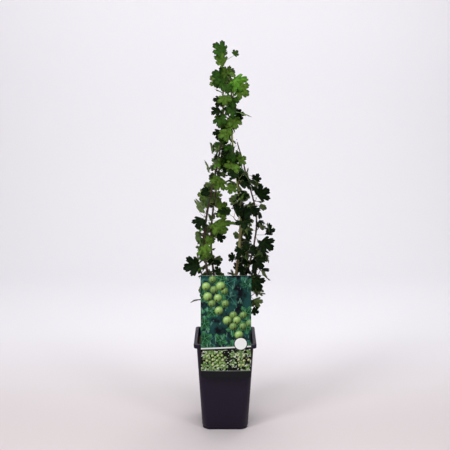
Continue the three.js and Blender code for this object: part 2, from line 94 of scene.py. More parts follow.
def colour(name, description, default):
    return FloatVectorProperty(
        name=name, description=description, default=default, subtype="COLOR", min=0, max=1
    )


class BUSH_PG_pot(PropertyGroup):
    rim_width: length("Rim width", "Width over the rim", POT_HIGH.x - POT_LOW.x)
    height: length("Height", "Height of the pot", POT_HIGH.z)
    top_width: length("Wall width", "Width of the wall just under the rim", 0.137)
    foot_width: length("Foot width", "Width of the wall at the foot", 0.112)
    rim_corner: length("Rim corner", "Corner radius at the rim", 0.007)
    foot_corner: length("Foot corner", "Corner radius at the foot", 0.020)
    wall: length("Wall", "Thickness of the wall", 0.0018)
    skirt: length("Skirt", "How far the rim turns down", 0.0095)
    plastic: colour("Plastic", "Colour of the plastic", (0.0112, 0.0064, 0.0205))


class BUSH_PG_soil(PropertyGroup):
    relief: length("Relief", "Height of the lumps in the compost", 0.0022)
    crumbs: IntProperty(name="Crumbs", description="Loose crumbs and bark chips", default=420)
    compost: colour("Compost", "Colour of moist compost", (0.075, 0.045, 0.029))


class BUSH_PG_card(PropertyGroup):
    bow: length("Bow", "How far the card bows forward", 0.0022)
    corner: length("Corner", "Radius of the two lower corners", 0.009)
    berry: colour("Berry", "Colour of the printed berries", (0.35, 0.63, 0.14))
    band: colour("Band", "Colour of the printed band and disc", (0.8, 0.82, 0.8))


class BUSH_PG_wood(PropertyGroup):
    relief: length("Bark relief", "Depth of the bark's ridges", 0.00035)
    node_gap: length("Node gap", "Distance between the nodes on a stem", 0.017)
    spine: length("Spine", "Length of a spine", 0.0065)
    old_bark: colour("Old bark", "Colour of the crown", (0.085, 0.058, 0.038))
    bark: colour("Bark", "Colour of the stems", (0.095, 0.056, 0.036))
    young_bark: colour("Young bark", "Colour of the green shoots", (0.21, 0.27, 0.08))


class BUSH_PG_foliage(PropertyGroup):
    thickness: length("Leaf thickness", "Thickness of a leaf at its palm", 0.0005)
    # The leaf colours are partly painted light and shade: tints_of gives the darker ones, deep and full,
    # to the right, most of all low down, and to the spurs, where shade falls, and the lighter ones, mid
    # and fresh, to the left, towards the key light, and to the tips.
    deep: colour("Deep leaves", "Colour of old leaves", (0.0042, 0.0135, 0.0022))
    mid: colour("Mid leaves", "Colour of grown leaves", (0.074, 0.15, 0.017))
    full: colour("Full leaves", "Colour of leaves in full growth", (0.024, 0.075, 0.007))
    fresh: colour("Fresh leaves", "Colour of young leaves", (0.06, 0.185, 0.01))
    under: colour("Undersides", "Colour of the leaves beneath", (0.13, 0.2, 0.065))


class BUSH_PG_stage(PropertyGroup):
    lens: FloatProperty(name="Lens", description="Focal length", default=64.1, unit="CAMERA")
    distance: length("Camera distance", "Camera's distance from the bush", 1.9)
    camera_height: length("Camera height", "Camera's height above the floor", 0.83)
    pitch: FloatProperty(
        name="Pitch",
        description="How far the camera looks down",
        default=math.radians(9.9),
        subtype="ANGLE",
    )
    paper: colour("Backdrop", "Colour of the paper backdrop", (0.85, 0.83, 0.87))


# ---- Materials ---------------------------------------------------------------------------------


class Wire:
    """A value that runs over a surface, so that sums on it read as Python."""

    def __init__(self, paint, socket):
        self.paint = paint
        self.socket = socket

    def math(self, operation, *others):
        return self.paint.math(operation, self, *others)

    def __add__(self, other):
        return self.math("ADD", other)

    def __radd__(self, other):
        return self.math("ADD", other)

    def __sub__(self, other):
        return self.math("SUBTRACT", other)

    def __rsub__(self, other):
        return self.paint.math("SUBTRACT", other, self)

    def __mul__(self, other):
        return self.math("MULTIPLY", other)

    def __rmul__(self, other):
        return self.math("MULTIPLY", other)

    def __truediv__(self, other):
        return self.math("DIVIDE", other)

    def __abs__(self):
        return self.math("ABSOLUTE")


class Paint:
    """A material, built on its Principled shader."""

    def __init__(self, name, constants):
        self.material = bpy.data.materials.new(name)
        self.material.use_nodes = True
        self.tree = self.material.node_tree
        self.shader = self.tree.nodes["Principled BSDF"]
        self.feed(self.shader, constants)

    def feed(self, node, sources):
        for socket, source in sources.items():
            if isinstance(source, Wire):
                self.tree.links.new(source.socket, node.inputs[socket])
            else:
                node.inputs[socket].default_value = source

    def node(self, kind, settings, sources, output=0):
        made = self.tree.nodes.new(kind)
        for setting, value in settings.items():
            setattr(made, setting, value)
        self.feed(made, sources)
        return Wire(self, made.outputs[output])

    def math(self, operation, *values):
        return self.node("ShaderNodeMath", {"operation": operation}, dict(enumerate(values)))

    def place(self):
        """Where a point of the surface is, in millimetres."""
        metres = self.node("ShaderNodeTexCoord", {}, {}, output=3)
        return self.stretch(metres, (1000, 1000, 1000))

    def stretch(self, vector, factors):
        settings = {"operation": "MULTIPLY"}
        return self.node("ShaderNodeVectorMath", settings, {0: vector, 1: factors})

    def split(self, vector):
        kind = "ShaderNodeSeparateXYZ"
        made = self.node(kind, {}, {0: vector}).socket.node
        return [Wire(self, socket) for socket in made.outputs]

    def noise(self, vector, scale, detail=3.0):
        sources = {"Vector": vector, "Scale": scale, "Detail": detail}
        return self.node("ShaderNodeTexNoise", {}, sources)

    def step(self, value, start, end):
        """0 before start, 1 after end, and smooth between them."""
        settings = {"interpolation_type": "SMOOTHSTEP"}
        return self.node("ShaderNodeMapRange", settings, {0: value, 1: start, 2: end})

    def blend(self, factor, first, second):
        """The first colour where the factor is 0, and the second where it is 1."""
        sources = {0: factor, 6: first, 7: second}
        return self.node("ShaderNodeMix", {"data_type": "RGBA"}, sources, output=2)

    def bump(self, height, distance):
        sources = {"Height": height, "Distance": distance}
        self.feed(self.shader, {"Normal": self.node("ShaderNodeBump", {}, sources)})


def opaque(rgb, factor=1.0):
    """A colour with its alpha, lightened or darkened by a factor."""
    return (*(min(1.0, channel * factor) for channel in rgb), 1.0)


def paint_plastic(rgb):
    """Moulded plastic with a fine grain, duller patches and pale scuffs."""
    paint = Paint("pot_plastic", {"Specular IOR Level": 0.2})
    place = paint.place()
    cloudy = paint.noise(place, 0.03)
    grain = paint.noise(place, 1.6, 2.0)
    streaks = paint.noise(paint.stretch(place, (0.4, 0.4, 0.02)), 1.0, 4.0)
    scuffs = paint.step(streaks, 0.6, 0.78)
    tone = paint.blend(cloudy, opaque(rgb, 0.85), opaque(rgb, 1.25))
    tone = paint.blend(scuffs * 0.22, tone, opaque(rgb, 4.5))
    paint.feed(paint.shader, {"Base Color": tone, "Roughness": 0.34 + cloudy * 0.16 + scuffs * 0.1})
    paint.bump(grain, 0.00006)
    return paint.material


def paint_compost(rgb):
    """Moist compost: dark fibres, paler crumbs, and darker where its bumps dip."""
    paint = Paint("compost", {"Specular IOR Level": 0.25})
    place = paint.place()
    coarse = paint.noise(place, 0.22, 5.0)
    fine = paint.noise(place, 1.3, 4.0)
    tone = paint.blend(coarse, opaque(rgb, 0.45), opaque(rgb, 1.5))
    tone = paint.blend(paint.step(fine, 0.56, 0.72), tone, opaque(rgb, 2.4))
    paint.feed(paint.shader, {"Base Color": tone, "Roughness": 0.98 - coarse * 0.2})
    paint.bump(coarse + fine * 0.5, 0.0012)
    return paint.material


def paint_bark(name, rgb, grey, young=None, greening=None):
    """Bark with streaks along the stem. It turns to young green wood between two heights."""
    paint = Paint(name, {"Specular IOR Level": 0.3})
    place = paint.place()
    streaks = paint.noise(paint.stretch(place, (1.1, 1.1, 0.09)), 1.0, 5.0)
    patches = paint.noise(paint.stretch(place, (0.12, 0.12, 0.03)), 1.0)
    specks = paint.noise(paint.stretch(place, (1.6, 1.6, 0.7)), 1.0, 2.0)
    height = paint.split(place)[2]
    tone = paint.blend(streaks, opaque(rgb, 0.55), opaque(rgb, 1.4))
    tone = paint.blend(paint.step(patches, 0.42, 0.66) * 0.6, tone, opaque(grey))
    tone = paint.blend(paint.step(specks, 0.66, 0.76) * 0.6, tone, opaque(rgb, 2.3))
    if young:
        green = paint.step(height + (patches - 0.5) * 160, *greening) * 0.85
        tone = paint.blend(green, tone, opaque(young))
    paint.feed(paint.shader, {"Base Color": tone, "Roughness": 0.6 + streaks * 0.25})
    paint.bump(streaks + specks * 0.3, 0.0004)
    return paint.material


def paint_stalk(name, rgb, blush):
    """Green shoots and leaf stalks with a reddish blush in places."""
    paint = Paint(name, {"Roughness": 0.5, "Specular IOR Level": 0.35})
    place = paint.place()
    patches = paint.noise(place, 0.05)
    fibres = paint.noise(place, 0.9, 3.0)
    tone = paint.blend(fibres, opaque(rgb, 0.75), opaque(rgb, 1.3))
    tone = paint.blend(paint.step(patches, 0.5, 0.68) * 0.55, tone, opaque(blush))
    paint.feed(paint.shader, {"Base Color": tone})
    paint.bump(fibres, 0.00015)
    return paint.material


LEAF_MAP = "leaf"  # a leaf's own map: its palm is at the middle, and its tip at the top
VEINS = [math.radians(48), math.radians(90)]  # side veins, from the midrib


def paint_leaf(name, rgb, vein, sheen):
    """A blade with five main veins, side veins that branch off them, and a mottled skin whose dark patches
    are partly painted shade. Painted shade also darkens the blade between its main veins and towards its
    rim.
    """
    paint = Paint(name, {"Specular IOR Level": sheen})
    sheet = paint.node("ShaderNodeUVMap", {"uv_map": LEAF_MAP}, {})
    u, v, _ = paint.split(sheet)
    sideways = u * 2 - 1
    forwards = v * 2 - 1
    reach = (sideways * sideways + forwards * forwards).math("SQRT")
    angle = abs(sideways.math("ARCTAN2", forwards))
    off = angle
    for bearing in VEINS:
        off = off.math("MINIMUM", abs(angle - bearing))
    beside = reach * off.math("SINE")
    along = reach * off.math("COSINE")
    main = 1 - paint.step(beside, 0.012, 0.045)
    ribs = ((along - beside * 1.1) * 46).math("SINE")
    ribs = paint.step(ribs, 0.55, 1.0) * (1 - paint.step(beside, 0.2, 0.34))
    place = paint.place()
    mottle_and_shade = paint.noise(place, 0.16, 4.0)
    broad = paint.noise(place, 0.02, 1.0)
    # Mottle: its dark patches are partly painted shade between the leaves
    tone = paint.blend(paint.step(mottle_and_shade, 0.34, 0.66), opaque(rgb, 0.45), opaque(rgb, 1.55))
    tone = paint.blend(paint.step(broad, 0.35, 0.7) * 0.35, tone, opaque(rgb, 1.6))
    lines = main * 0.42 + ribs * 0.14
    tone = paint.blend(lines.math("MINIMUM", 1.0), tone, opaque(vein))
    # Painted shade: the blade darkens away from its main veins, in the folds between them
    tone = paint.blend(paint.step(beside, 0.08, 0.28) * 0.6, tone, opaque(rgb, 0.3))
    # Painted shade: the blade darkens towards its rim
    tone = paint.blend(paint.step(reach, 0.65, 1.0) * 0.5, tone, opaque(rgb, 0.3))
    paint.feed(paint.shader, {"Base Color": tone, "Roughness": 0.42 + mottle_and_shade * 0.22})
    paint.bump(mottle_and_shade * 0.5 - main - ribs * 0.5, 0.0005)
    return paint.material


# The print, in millimetres on the card: x from the middle, and z above the pot's underside.
FOOT_LEVEL = 159  # below it the card is dark
BAND_LEVEL, BAND_SLOPE = 211, 0.05  # where the dark line under the sloping band starts
BAND_START, BAND_END = 3.4, 7.0  # the pale band, over the start of its dark line
DISC_X, DISC_Z, DISC_RADIUS, DISC_RIM = 37, 226, 14.0, 16.0
SOFT = 0.6  # how wide the soft edge of the band is
# Bunches of berries: the pitch, a shift of the pattern, the bunch's middle, its half width and
# half height, the radius of a berry, and how bright it is.
TOP_BUNCHES = [
    (30, (3, 8, 0), (-22, 340), (34, 46), 10.4, 0.5),
    (30, (18, 25, 0), (-20, 338), (32, 46), 11.6, 1.0),
    (29, (17, 29, 0), (32, 268), (28, 38), 10.0, 0.5),
    (29, (31, 14, 0), (30, 270), (29, 40), 11.2, 1.0),
]
LOW_BUNCHES = [
    (12, (50, 3, 0), (-22, 186), (30, 19), 4.1, 0.6),
    (12, (56, 9, 0), (-22, 186), (27, 17), 4.1, 1.3),
    (12, (5, 33, 0), (40, 184), (19, 17), 4.1, 1.5),
]


def paint_print(berry, band):
    """A printed picture: round pale berries and lobed leaves on a dark leafy ground, over a
    sloping pale band with a blank disc, a second strip of small berries and a dark foot."""
    paint = Paint("card_print", {"Specular IOR Level": 0.1, "Coat Weight": 0.03})
    paint.feed(paint.shader, {"Roughness": 0.38, "Coat Roughness": 0.12})
    x, _, z = paint.split(paint.place())
    flat = paint.node("ShaderNodeCombineXYZ", {}, {0: x, 1: z})

    def cells(pitch, randomness, shift):
        """Scattered centres: the point's place from the nearest, that centre, and its chance."""
        moved = paint.node("ShaderNodeVectorMath", {"operation": "ADD"}, {0: flat, 1: shift})
        settings = {"voronoi_dimensions": "2D"}
        sources = {"Vector": moved, "Scale": 1 / pitch, "Randomness": randomness}
        found = paint.node("ShaderNodeTexVoronoi", settings, sources).socket.node
        centre = Wire(paint, found.outputs["Position"])
        away = paint.node("ShaderNodeVectorMath", {"operation": "SUBTRACT"}, {0: moved, 1: centre})
        chance = paint.split(Wire(paint, found.outputs["Color"]))[0]
        return paint.split(away)[:2], paint.split(centre)[:2], chance

    def length_of(right, up):
        return (right * right + up * up).math("SQRT")

    def spot(right, up, radius):
        """A soft round spot about the point where right and up are zero."""
        return 1 - paint.step(right * right + up * up, 0.0, radius * radius * 0.05)

    def lobed(ground, pitch, shift, dark, light):
        """Lobed leaves at all angles, each paler towards its rim and with a pale midrib."""
        (right, up), _, chance = cells(pitch, 0.9, shift)
        reach = length_of(right, up) / (pitch * 0.62)
        angle = right.math("ARCTAN2", up) + chance * 6.3
        rim = 0.74 + (angle * 5).math("COSINE") * 0.2 + (angle * 19).math("COSINE") * 0.05
        inside = 1 - paint.step(reach / rim, 0.9, 1.0)
        rib = 1 - paint.step(abs((angle * 2.5).math("SINE")) * reach, 0.02, 0.09)
        tone = paint.blend(paint.step(reach, 0.0, 1.0), opaque(dark), opaque(light))
        tone = paint.blend(rib * 0.5, tone, opaque(light, 2.6))
        return paint.blend(inside * paint.step(chance, 0.25, 0.3), ground, tone)

    def berries(ground, pitch, shift, middle, half, radius, glow):
        """Round striped berries, lit from above, where their centres lie in a bunch's oval."""
        (right, up), (east, north), chance = cells(pitch, 0.3, shift)
        size = radius * (0.88 + chance * 0.12)
        reach = length_of(right, up) / size
        oval_x = (east - shift[0] - middle[0]) / half[0]
        oval_z = (north - shift[1] - middle[1]) / half[1]
        belongs = 1 - paint.step(oval_x * oval_x + oval_z * oval_z, 0.98, 1.02)
        lit = paint.step(up * 0.7 - right * 0.45, -0.9 * radius, 0.95 * radius)
        lit = lit * (1 - paint.step(reach, 0.45, 1.05) * 0.65)
        stripes = (abs(right / (1.25 - reach * 0.55)) * (9.5 / radius)).math("COSINE")
        skin = paint.blend(lit, opaque(berry, 0.05), opaque(berry, 1.75 * glow))
        skin = paint.blend(paint.step(stripes, 0.6, 1.0) * lit * 0.45, skin, (0.75, 1.0, 0.6, 1))
        glint = spot(right + size * 0.3, up - size * 0.42, radius)
        skin = paint.blend(glint * 0.8 * glow, skin, opaque(band))
        calyx = spot(right - size * (chance - 0.5), up + size * 0.5, radius)
        skin = paint.blend(calyx * 0.95, skin, opaque((0.015, 0.01, 0.004)))
        return paint.blend((1 - paint.step(reach, 0.93, 1.0)) * belongs, ground, skin)

    def flecks(ground, stretch, scale, detail, bounds, strength, rgb):
        """Pale streaks and petals, where a stretched noise passes between two bounds."""
        found = paint.noise(paint.stretch(flat, stretch), scale, detail)
        return paint.blend(paint.step(found, *bounds) * strength, ground, opaque(rgb))

    clouds = paint.step(paint.noise(flat, 0.045, 4.0), 0.36, 0.62)
    upper = paint.blend(clouds, (0.002, 0.002, 0.006, 1), (0.012, 0.065, 0.06, 1))
    upper = lobed(upper, 46, (13, 5, 0), (0.001, 0.008, 0.008), (0.03, 0.13, 0.1))
    upper = lobed(upper, 34, (61, 40, 0), (0.002, 0.016, 0.006), (0.05, 0.22, 0.09))
    upper = flecks(upper, (1, 0.35, 1), 0.16, 3.0, (0.58, 0.7), 0.5, (0.25, 0.55, 0.42))
    for bunch in TOP_BUNCHES:
        upper = berries(upper, *bunch)
    lower = lobed(
        opaque((0.003, 0.005, 0.003)), 17, (7, 90, 0), (0.006, 0.04, 0.006), (0.28, 0.46, 0.16)
    )
    lower = flecks(lower, (1, 1.3, 1), 0.14, 4.0, (0.56, 0.62), 0.75, (0.85, 0.9, 0.75))
    for bunch in LOW_BUNCHES:
        lower = berries(lower, *bunch)

    rise = z - BAND_LEVEL - x * BAND_SLOPE
    tone = paint.blend(paint.step(rise, -0.4, 0.4), lower, opaque((0.003, 0.003, 0.004)))
    tone = paint.blend(paint.step(rise, BAND_START, BAND_START + SOFT), tone, opaque(band))
    tone = paint.blend(paint.step(rise, BAND_END, BAND_END + SOFT), tone, upper)
    over_foot = paint.step(z, FOOT_LEVEL - 0.5, FOOT_LEVEL + 0.5)
    tone = paint.blend(1 - over_foot, tone, opaque((0.01, 0.01, 0.013)))
    foot_line = 1 - paint.step(abs(z - FOOT_LEVEL), 0.3, 0.7)
    tone = paint.blend(foot_line, tone, opaque(band, 0.35))
    from_disc = length_of(x - DISC_X, z - DISC_Z)
    rim = 1 - paint.step(from_disc, DISC_RIM, DISC_RIM + 0.8)
    tone = paint.blend(rim, tone, opaque((0.003, 0.006, 0.003)))
    disc = 1 - paint.step(from_disc, DISC_RADIUS, DISC_RADIUS + 0.8)
    tone = paint.blend(disc, tone, opaque(band, 1.22))
    paint.feed(paint.shader, {"Base Color": tone})
    paint.bump(paint.noise(flat, 0.7, 2.0), 0.00004)
    return paint.material


def paint_paper():
    """Plain uncoated board, the back of the card."""
    paint = Paint("card_back", {"Roughness": 0.85, "Specular IOR Level": 0.3})
    fibres = paint.noise(paint.place(), 1.2, 4.0)
    tone = paint.blend(fibres, (0.62, 0.61, 0.58, 1), (0.78, 0.77, 0.74, 1))
    paint.feed(paint.shader, {"Base Color": tone})
    paint.bump(fibres, 0.00005)
    return paint.material


# Painted shade for the floor: the paper is darker and warmer there.
FLOOR_PAINTED_SHADE = (0.84, 0.785, 0.76)  # the paper's colour on the floor, as a share of its own


def paint_backdrop(rgb):
    """Smooth studio paper, darker and warmer where it lies on the floor, as painted shade."""
    paint = Paint("backdrop_paper", {"Roughness": 0.9, "Specular IOR Level": 0.1})
    place = paint.place()
    _, back, height = paint.split(place)
    cloudy = paint.noise(place, 0.002, 2.0)
    floor = opaque([channel * share for channel, share in zip(rgb, FLOOR_PAINTED_SHADE)])
    # Painted shade: darker and warmer on the floor in front, lightening towards the back to the paper's
    # own colour.
    tone = paint.blend(paint.step(back + height, -100, 800), floor, opaque(rgb))
    tone = paint.blend(cloudy * 0.05, tone, opaque(rgb, 0.8))
    paint.feed(paint.shader, {"Base Color": tone})
    return paint.material


# ---- Pieces ------------------------------------------------------------------------------------


CREASE = math.radians(40)  # an edge that turns by more than this is sharp
CORNER_STEPS = 7  # pieces of a rounded corner


def make_mesh(name, shape):
    """Make a bmesh a mesh, and free it."""
    mesh = bpy.data.meshes.new(name)
    shape.to_mesh(mesh)
    shape.free()
    return mesh


def make_piece(name, shape, materials):
    """Make a finished bmesh an object with smooth shading."""
    shape.normal_update()
    mesh = make_mesh(name, shape)
    for material in materials:
        mesh.materials.append(material)
    mesh.shade_smooth()
    piece = bpy.data.objects.new(name, mesh)
    bpy.context.scene.collection.objects.link(piece)
    return piece


def dress(name, shape, materials, nodes):
    """Make a piece that stands for some of the part's nodes and moves with the plant."""
    piece = make_piece(name, shape, materials)
    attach(piece, "root")
    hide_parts(*nodes)
    return piece


def square_ring(shape, half, corner, height):
    """A level square face with rounded corners. Returns the face."""
    made = bmesh.ops.create_grid(shape, x_segments=1, y_segments=1, size=half)
    bmesh.ops.translate(shape, verts=made["verts"], vec=(0, 0, height))
    rounded = bmesh.ops.bevel(
        shape,
        geom=made["verts"],
        offset=corner,
        segments=CORNER_STEPS,
        profile=0.5,
        affect="VERTICES",
        material=-1,
    )
    faces = {face for vert in rounded["verts"] for face in vert.link_faces}
    return max(faces, key=lambda face: len(face.verts))


def stack(shape, levels):
    """A closed body through level square rings, each (half width, corner radius, height)."""
    rings = [square_ring(shape, *level) for level in levels]
    outlines = [list(ring.edges) for ring in rings]
    for lower, upper in zip(outlines, outlines[1:]):
        bmesh.ops.bridge_loops(shape, edges=lower + upper)
    bmesh.ops.delete(shape, geom=rings[1:-1], context="FACES_ONLY")
    bmesh.ops.recalc_face_normals(shape, faces=shape.faces)


def across(vector, unit):
    """The part of a vector at right angles to a unit vector, as a unit vector."""
    return (vector - unit * vector.dot(unit)).normalized()


def limb_pattern(name, sides, rings):
    """An upright tube of unit radius with closed ends, and its rings at heights 0, 1, 2 and on."""
    shape = bmesh.new()
    bmesh.ops.create_cone(shape, cap_ends=True, segments=sides, radius1=1, radius2=1, depth=1)
    tall = [edge for edge in shape.edges if abs(edge.verts[0].co.z - edge.verts[1].co.z) > 0.5]
    if rings > 2:
        bmesh.ops.subdivide_edges(shape, edges=tall, cuts=rings - 2)
    bmesh.ops.translate(shape, verts=shape.verts, vec=(0, 0, 0.5))
    bmesh.ops.scale(shape, verts=shape.verts, vec=(1, 1, rings - 1))
    return make_mesh(name, shape)


def add_pattern(shape, pattern):
    """Adds a copy of a pattern to a shape. Returns the new points and faces."""
    points, faces = len(shape.verts), len(shape.faces)
    shape.from_mesh(pattern)
    shape.verts.ensure_lookup_table()
    shape.faces.ensure_lookup_table()
    return shape.verts[points:], shape.faces[faces:]


def add_limb(shape, path, radii, sides, material=0, relief=None):
    """A round limb through points, closed at both ends. relief(turn, ring) adds to its radius."""
    name = f"limb_{sides}_{len(path)}"
    pattern = bpy.data.meshes.get(name) or limb_pattern(name, sides, len(path))
    side = Vector((0.8, -0.5, 0.3))
    frames = []
    for place in range(len(path)):
        before = path[max(place - 1, 0)]
        after = path[min(place + 1, len(path) - 1)]
        along = (after - before).normalized()
        side = across(side, along)
        frames.append((side.copy(), along.cross(side)))
    points, faces = add_pattern(shape, pattern)
    for vert in points:
        ring = round(vert.co.z)
        radius = radii[ring]
        if relief:
            radius += relief(math.atan2(vert.co.y, vert.co.x), ring)
        right, ahead = frames[ring]
        vert.co = path[ring] + (right * vert.co.x + ahead * vert.co.y) * radius
    for face in faces:
        face.smooth = True
        face.material_index = material


def bowed(start, end, start_slope, end_slope, share):
    """A value or point on the smooth curve from start to end, with the slopes at both."""
    rest = 1 - share
    ends = start * (1 + 2 * share) * rest * rest + end * (1 + 2 * rest) * share * share
    return ends + (start_slope * rest - end_slope * share) * share * rest


def smooth_path(points, count):
    """A curve of so many pieces through points."""
    last = len(points) - 1
    path = []
    for step in range(count + 1):
        place = min(last * step / count, last - 1e-6)
        at = int(place)
        start, end = points[at], points[at + 1]
        start_slope = (end - points[max(at - 1, 0)]) * 0.5
        end_slope = (points[min(at + 2, last)] - start) * 0.5
        path.append(bowed(start, end, start_slope, end_slope, place - at))
    return path


# ---- How the bush grows, in millimetres, by the same draws as its solids -----------------------

GAP = 0.3  # between touching solids
RIM_TOP, RIM_HALF = 222, 75  # the pot's rim
CARD_TOP = 392
HEART = (2, 222)  # distance from the middle and height where every stem starts
SHOULDER = (16, 256)
STUB_TOP = 252  # where the crown's stubs end and the stems start
TIP_RADIUS = 1.2
LEAN = 8  # how far the bush leans to the right at its top
SECTIONS, SAMPLES = 12, 200  # pieces of a stem's course, and points on it that leaves keep clear of
FIRST_SHOOT = 105  # height of a stem's first shoot over the heart
CROWDING = 0.94  # under 1, shoots stand closer towards the tip
DRAWS = 48  # tries for each twig and leaf
SPACING = 0.4  # how far palms stay apart at least, as a share of both leaves' sizes together
TWIG_KEY, FORK_KEY, FORK_LEAF_KEY = 7000, 8000, 40
SPACE_MARGIN, NEIGHBOUR_CLEAR, LIMB_CLEAR = 0.25, 5, 0.6
STALK_RADIUS = 0.5
LEAF_THICKNESS = 1.2  # of the solids' leaves
TWIG_FOOT, TWIG_TIP = 1.6, 1.1  # radii
FOOT_ROOM = 5  # radius of the space that a shoot's foot keeps
STEM_OWNER, SPUR_OWNER = -1, -2  # a shoot's twigs and leaves are owned by its seed
LEAF_BASE = 0.2  # from the palm back to the stalk's end, as a share of the leaf's size
LOBES = [(24, 0.76), (46, 0.95), (79, 0.66), (108, 0.8)]  # degrees from the tip, and reach


def mix(low, high, share):
    return low * (1 - share) + high * share


def polar(bearing, radius, height):
    turn = math.radians(bearing)
    return Vector((radius * math.cos(turn), radius * math.sin(turn), height))


def turned(vector, axis, degrees):
    return Quaternion(axis, math.radians(degrees)) @ vector


def dice(*keys):
    """A seeded generator of numbers between two bounds. The same keys give the same numbers."""
    full = 0xFFFFFFFF
    state = 0x2545F491
    for key in keys:
        state = ((state ^ key) * 0x9E3779B1) & full

    def roll(low, high):
        nonlocal state
        state = (state + 0x6D2B79F5) & full
        mixed = ((state ^ (state >> 15)) * (state | 1)) & full
        mixed ^= (mixed + ((mixed ^ (mixed >> 7)) * (mixed | 61))) & full
        return low + (high - low) * (mixed ^ (mixed >> 14)) / 2**32

    return roll


def point_along(points, share):
    """The point at a share of the way along a line of equal pieces, and the heading there."""
    place = min(share * (len(points) - 1), len(points) - 1.0001)
    joint = math.floor(place)
    start, end = points[joint], points[joint + 1]
    return start.lerp(end, place - joint), (end - start).normalized()


@dataclass
class Stem:
    """A main stem. Its knots are (distance from the middle, height), and its side shoots
    spread about the bearing of its face."""

    name: str
    knots: list
    foot: float
    shoots: int
    bearing: float
    turn: float
    face: float

    @property
    def top(self):
        return self.knots[-1][1]

    def rise_share(self, height):
        return (height - HEART[1]) / (self.top - HEART[1])

    def reach(self, height):
        knots = [HEART, SHOULDER, *self.knots]

        def slope(place):
            low = knots[max(place - 1, 0)]
            high = knots[min(place + 1, len(knots) - 1)]
            return (high[0] - low[0]) / (high[1] - low[1])

        place = 0
        while place < len(knots) - 2 and height > knots[place + 1][1]:
            place += 1
        (start_reach, start), (end_reach, end) = knots[place], knots[place + 1]
        rise = end - start
        slopes = slope(place) * rise, slope(place + 1) * rise
        return bowed(start_reach, end_reach, *slopes, (height - start) / rise)

    def point(self, height):
        bearing = self.bearing + self.turn * self.rise_share(height)
        point = polar(bearing, self.reach(height), height)
        point.x += LEAN * (height - HEART[1]) / (STEMS[0].top - HEART[1])
        return point

    def along(self, height):
        return (self.point(height + 1) - self.point(height - 1)).normalized()

    def radius(self, height):
        return mix(self.foot, TIP_RADIUS, max(0.0, self.rise_share(height)) ** 0.8)

    def course(self):
        foot = STUB_TOP + GAP
        return [self.point(mix(foot, self.top, part / SECTIONS)) for part in range(SECTIONS + 1)]


STEMS = [
    Stem("left", [(56, 460), (15, 705), (14, 892)], 3.5, 7, 205, -14, 226),
    Stem("left_low", [(36, 318), (54, 360), (66, 402)], 2.4, 3, 166, 12, 175),
    Stem("left_back", [(54, 450), (15, 690), (14, 815)], 3.3, 6, 128, 16, 128),
    Stem("right_back", [(58, 470), (14, 705), (17, 846)], 3.6, 7, 58, -22, 28),
    Stem("right", [(74, 490), (42, 636), (24, 694)], 3.2, 6, 12, -2, 5),
    Stem("right_low", [(36, 300), (56, 330), (68, 352)], 2.4, 3, 346, 4, 350),
    Stem("front", [(56, 515), (19, 700), (12, 838)], 3.4, 7, 306, 0, 268),
]


@dataclass
class Shoot:
    """Where a shoot springs from its stem, and the heart of the space that it keeps to."""

    stem: Stem
    name: str
    is_tip: bool
    base: Vector
    outward: Vector
    along: Vector
    heart: Vector
    seed: int


def shoots_of(stem, stem_place):
    points = stem.course()
    shoots = []
    for place in range(stem.shoots):
        is_tip = place == stem.shoots - 1
        rise = stem.top - HEART[1]
        share = (place / (stem.shoots - 1)) ** CROWDING
        height = HEART[1] + mix(min(FIRST_SHOOT, rise / 2), rise, share)
        seat, along = point_along(points, (height - points[0].z) / (stem.top - points[0].z))
        bearing = stem.face + mix(62, 20, share) * math.sin(2.3 * place + stem_place)
        outward = along if is_tip else across(polar(bearing, 1, 0), along)
        base = seat + outward * (GAP if is_tip else stem.radius(height) + GAP)
        heart = base + outward * 17 + (Vector() if is_tip else UP * 8)
        name = f"foliage_{stem.name}_{place + 1}"
        shoots.append(Shoot(stem, name, is_tip, base, outward, along, heart, 100 * stem_place + place))
    return shoots


@dataclass
class Leaf:
    root: Vector
    palm: Vector
    forward: Vector
    normal: Vector
    size: float
    curl: float

    @property
    def side(self):
        return self.normal.cross(self.forward)

    @property
    def seat(self):
        return self.palm - self.forward * (LEAF_BASE * self.size)

    def rim(self):
        outline = [(-angle, reach) for angle, reach in reversed(LOBES)] + [(0, 1.0)] + LOBES
        points = []
        for angle, reach in outline:
            turn = math.radians(angle)
            flat = self.forward * math.cos(turn) + self.side * math.sin(turn)
            points.append(self.palm + (flat * reach + self.normal * self.curl * reach**2) * self.size)
        return points


@dataclass
class Spray:
    """Twigs and leaves that grew together and share one tint."""

    twigs: list
    leaves: list
    seed: int
    base: Vector
    tints: tuple = ()


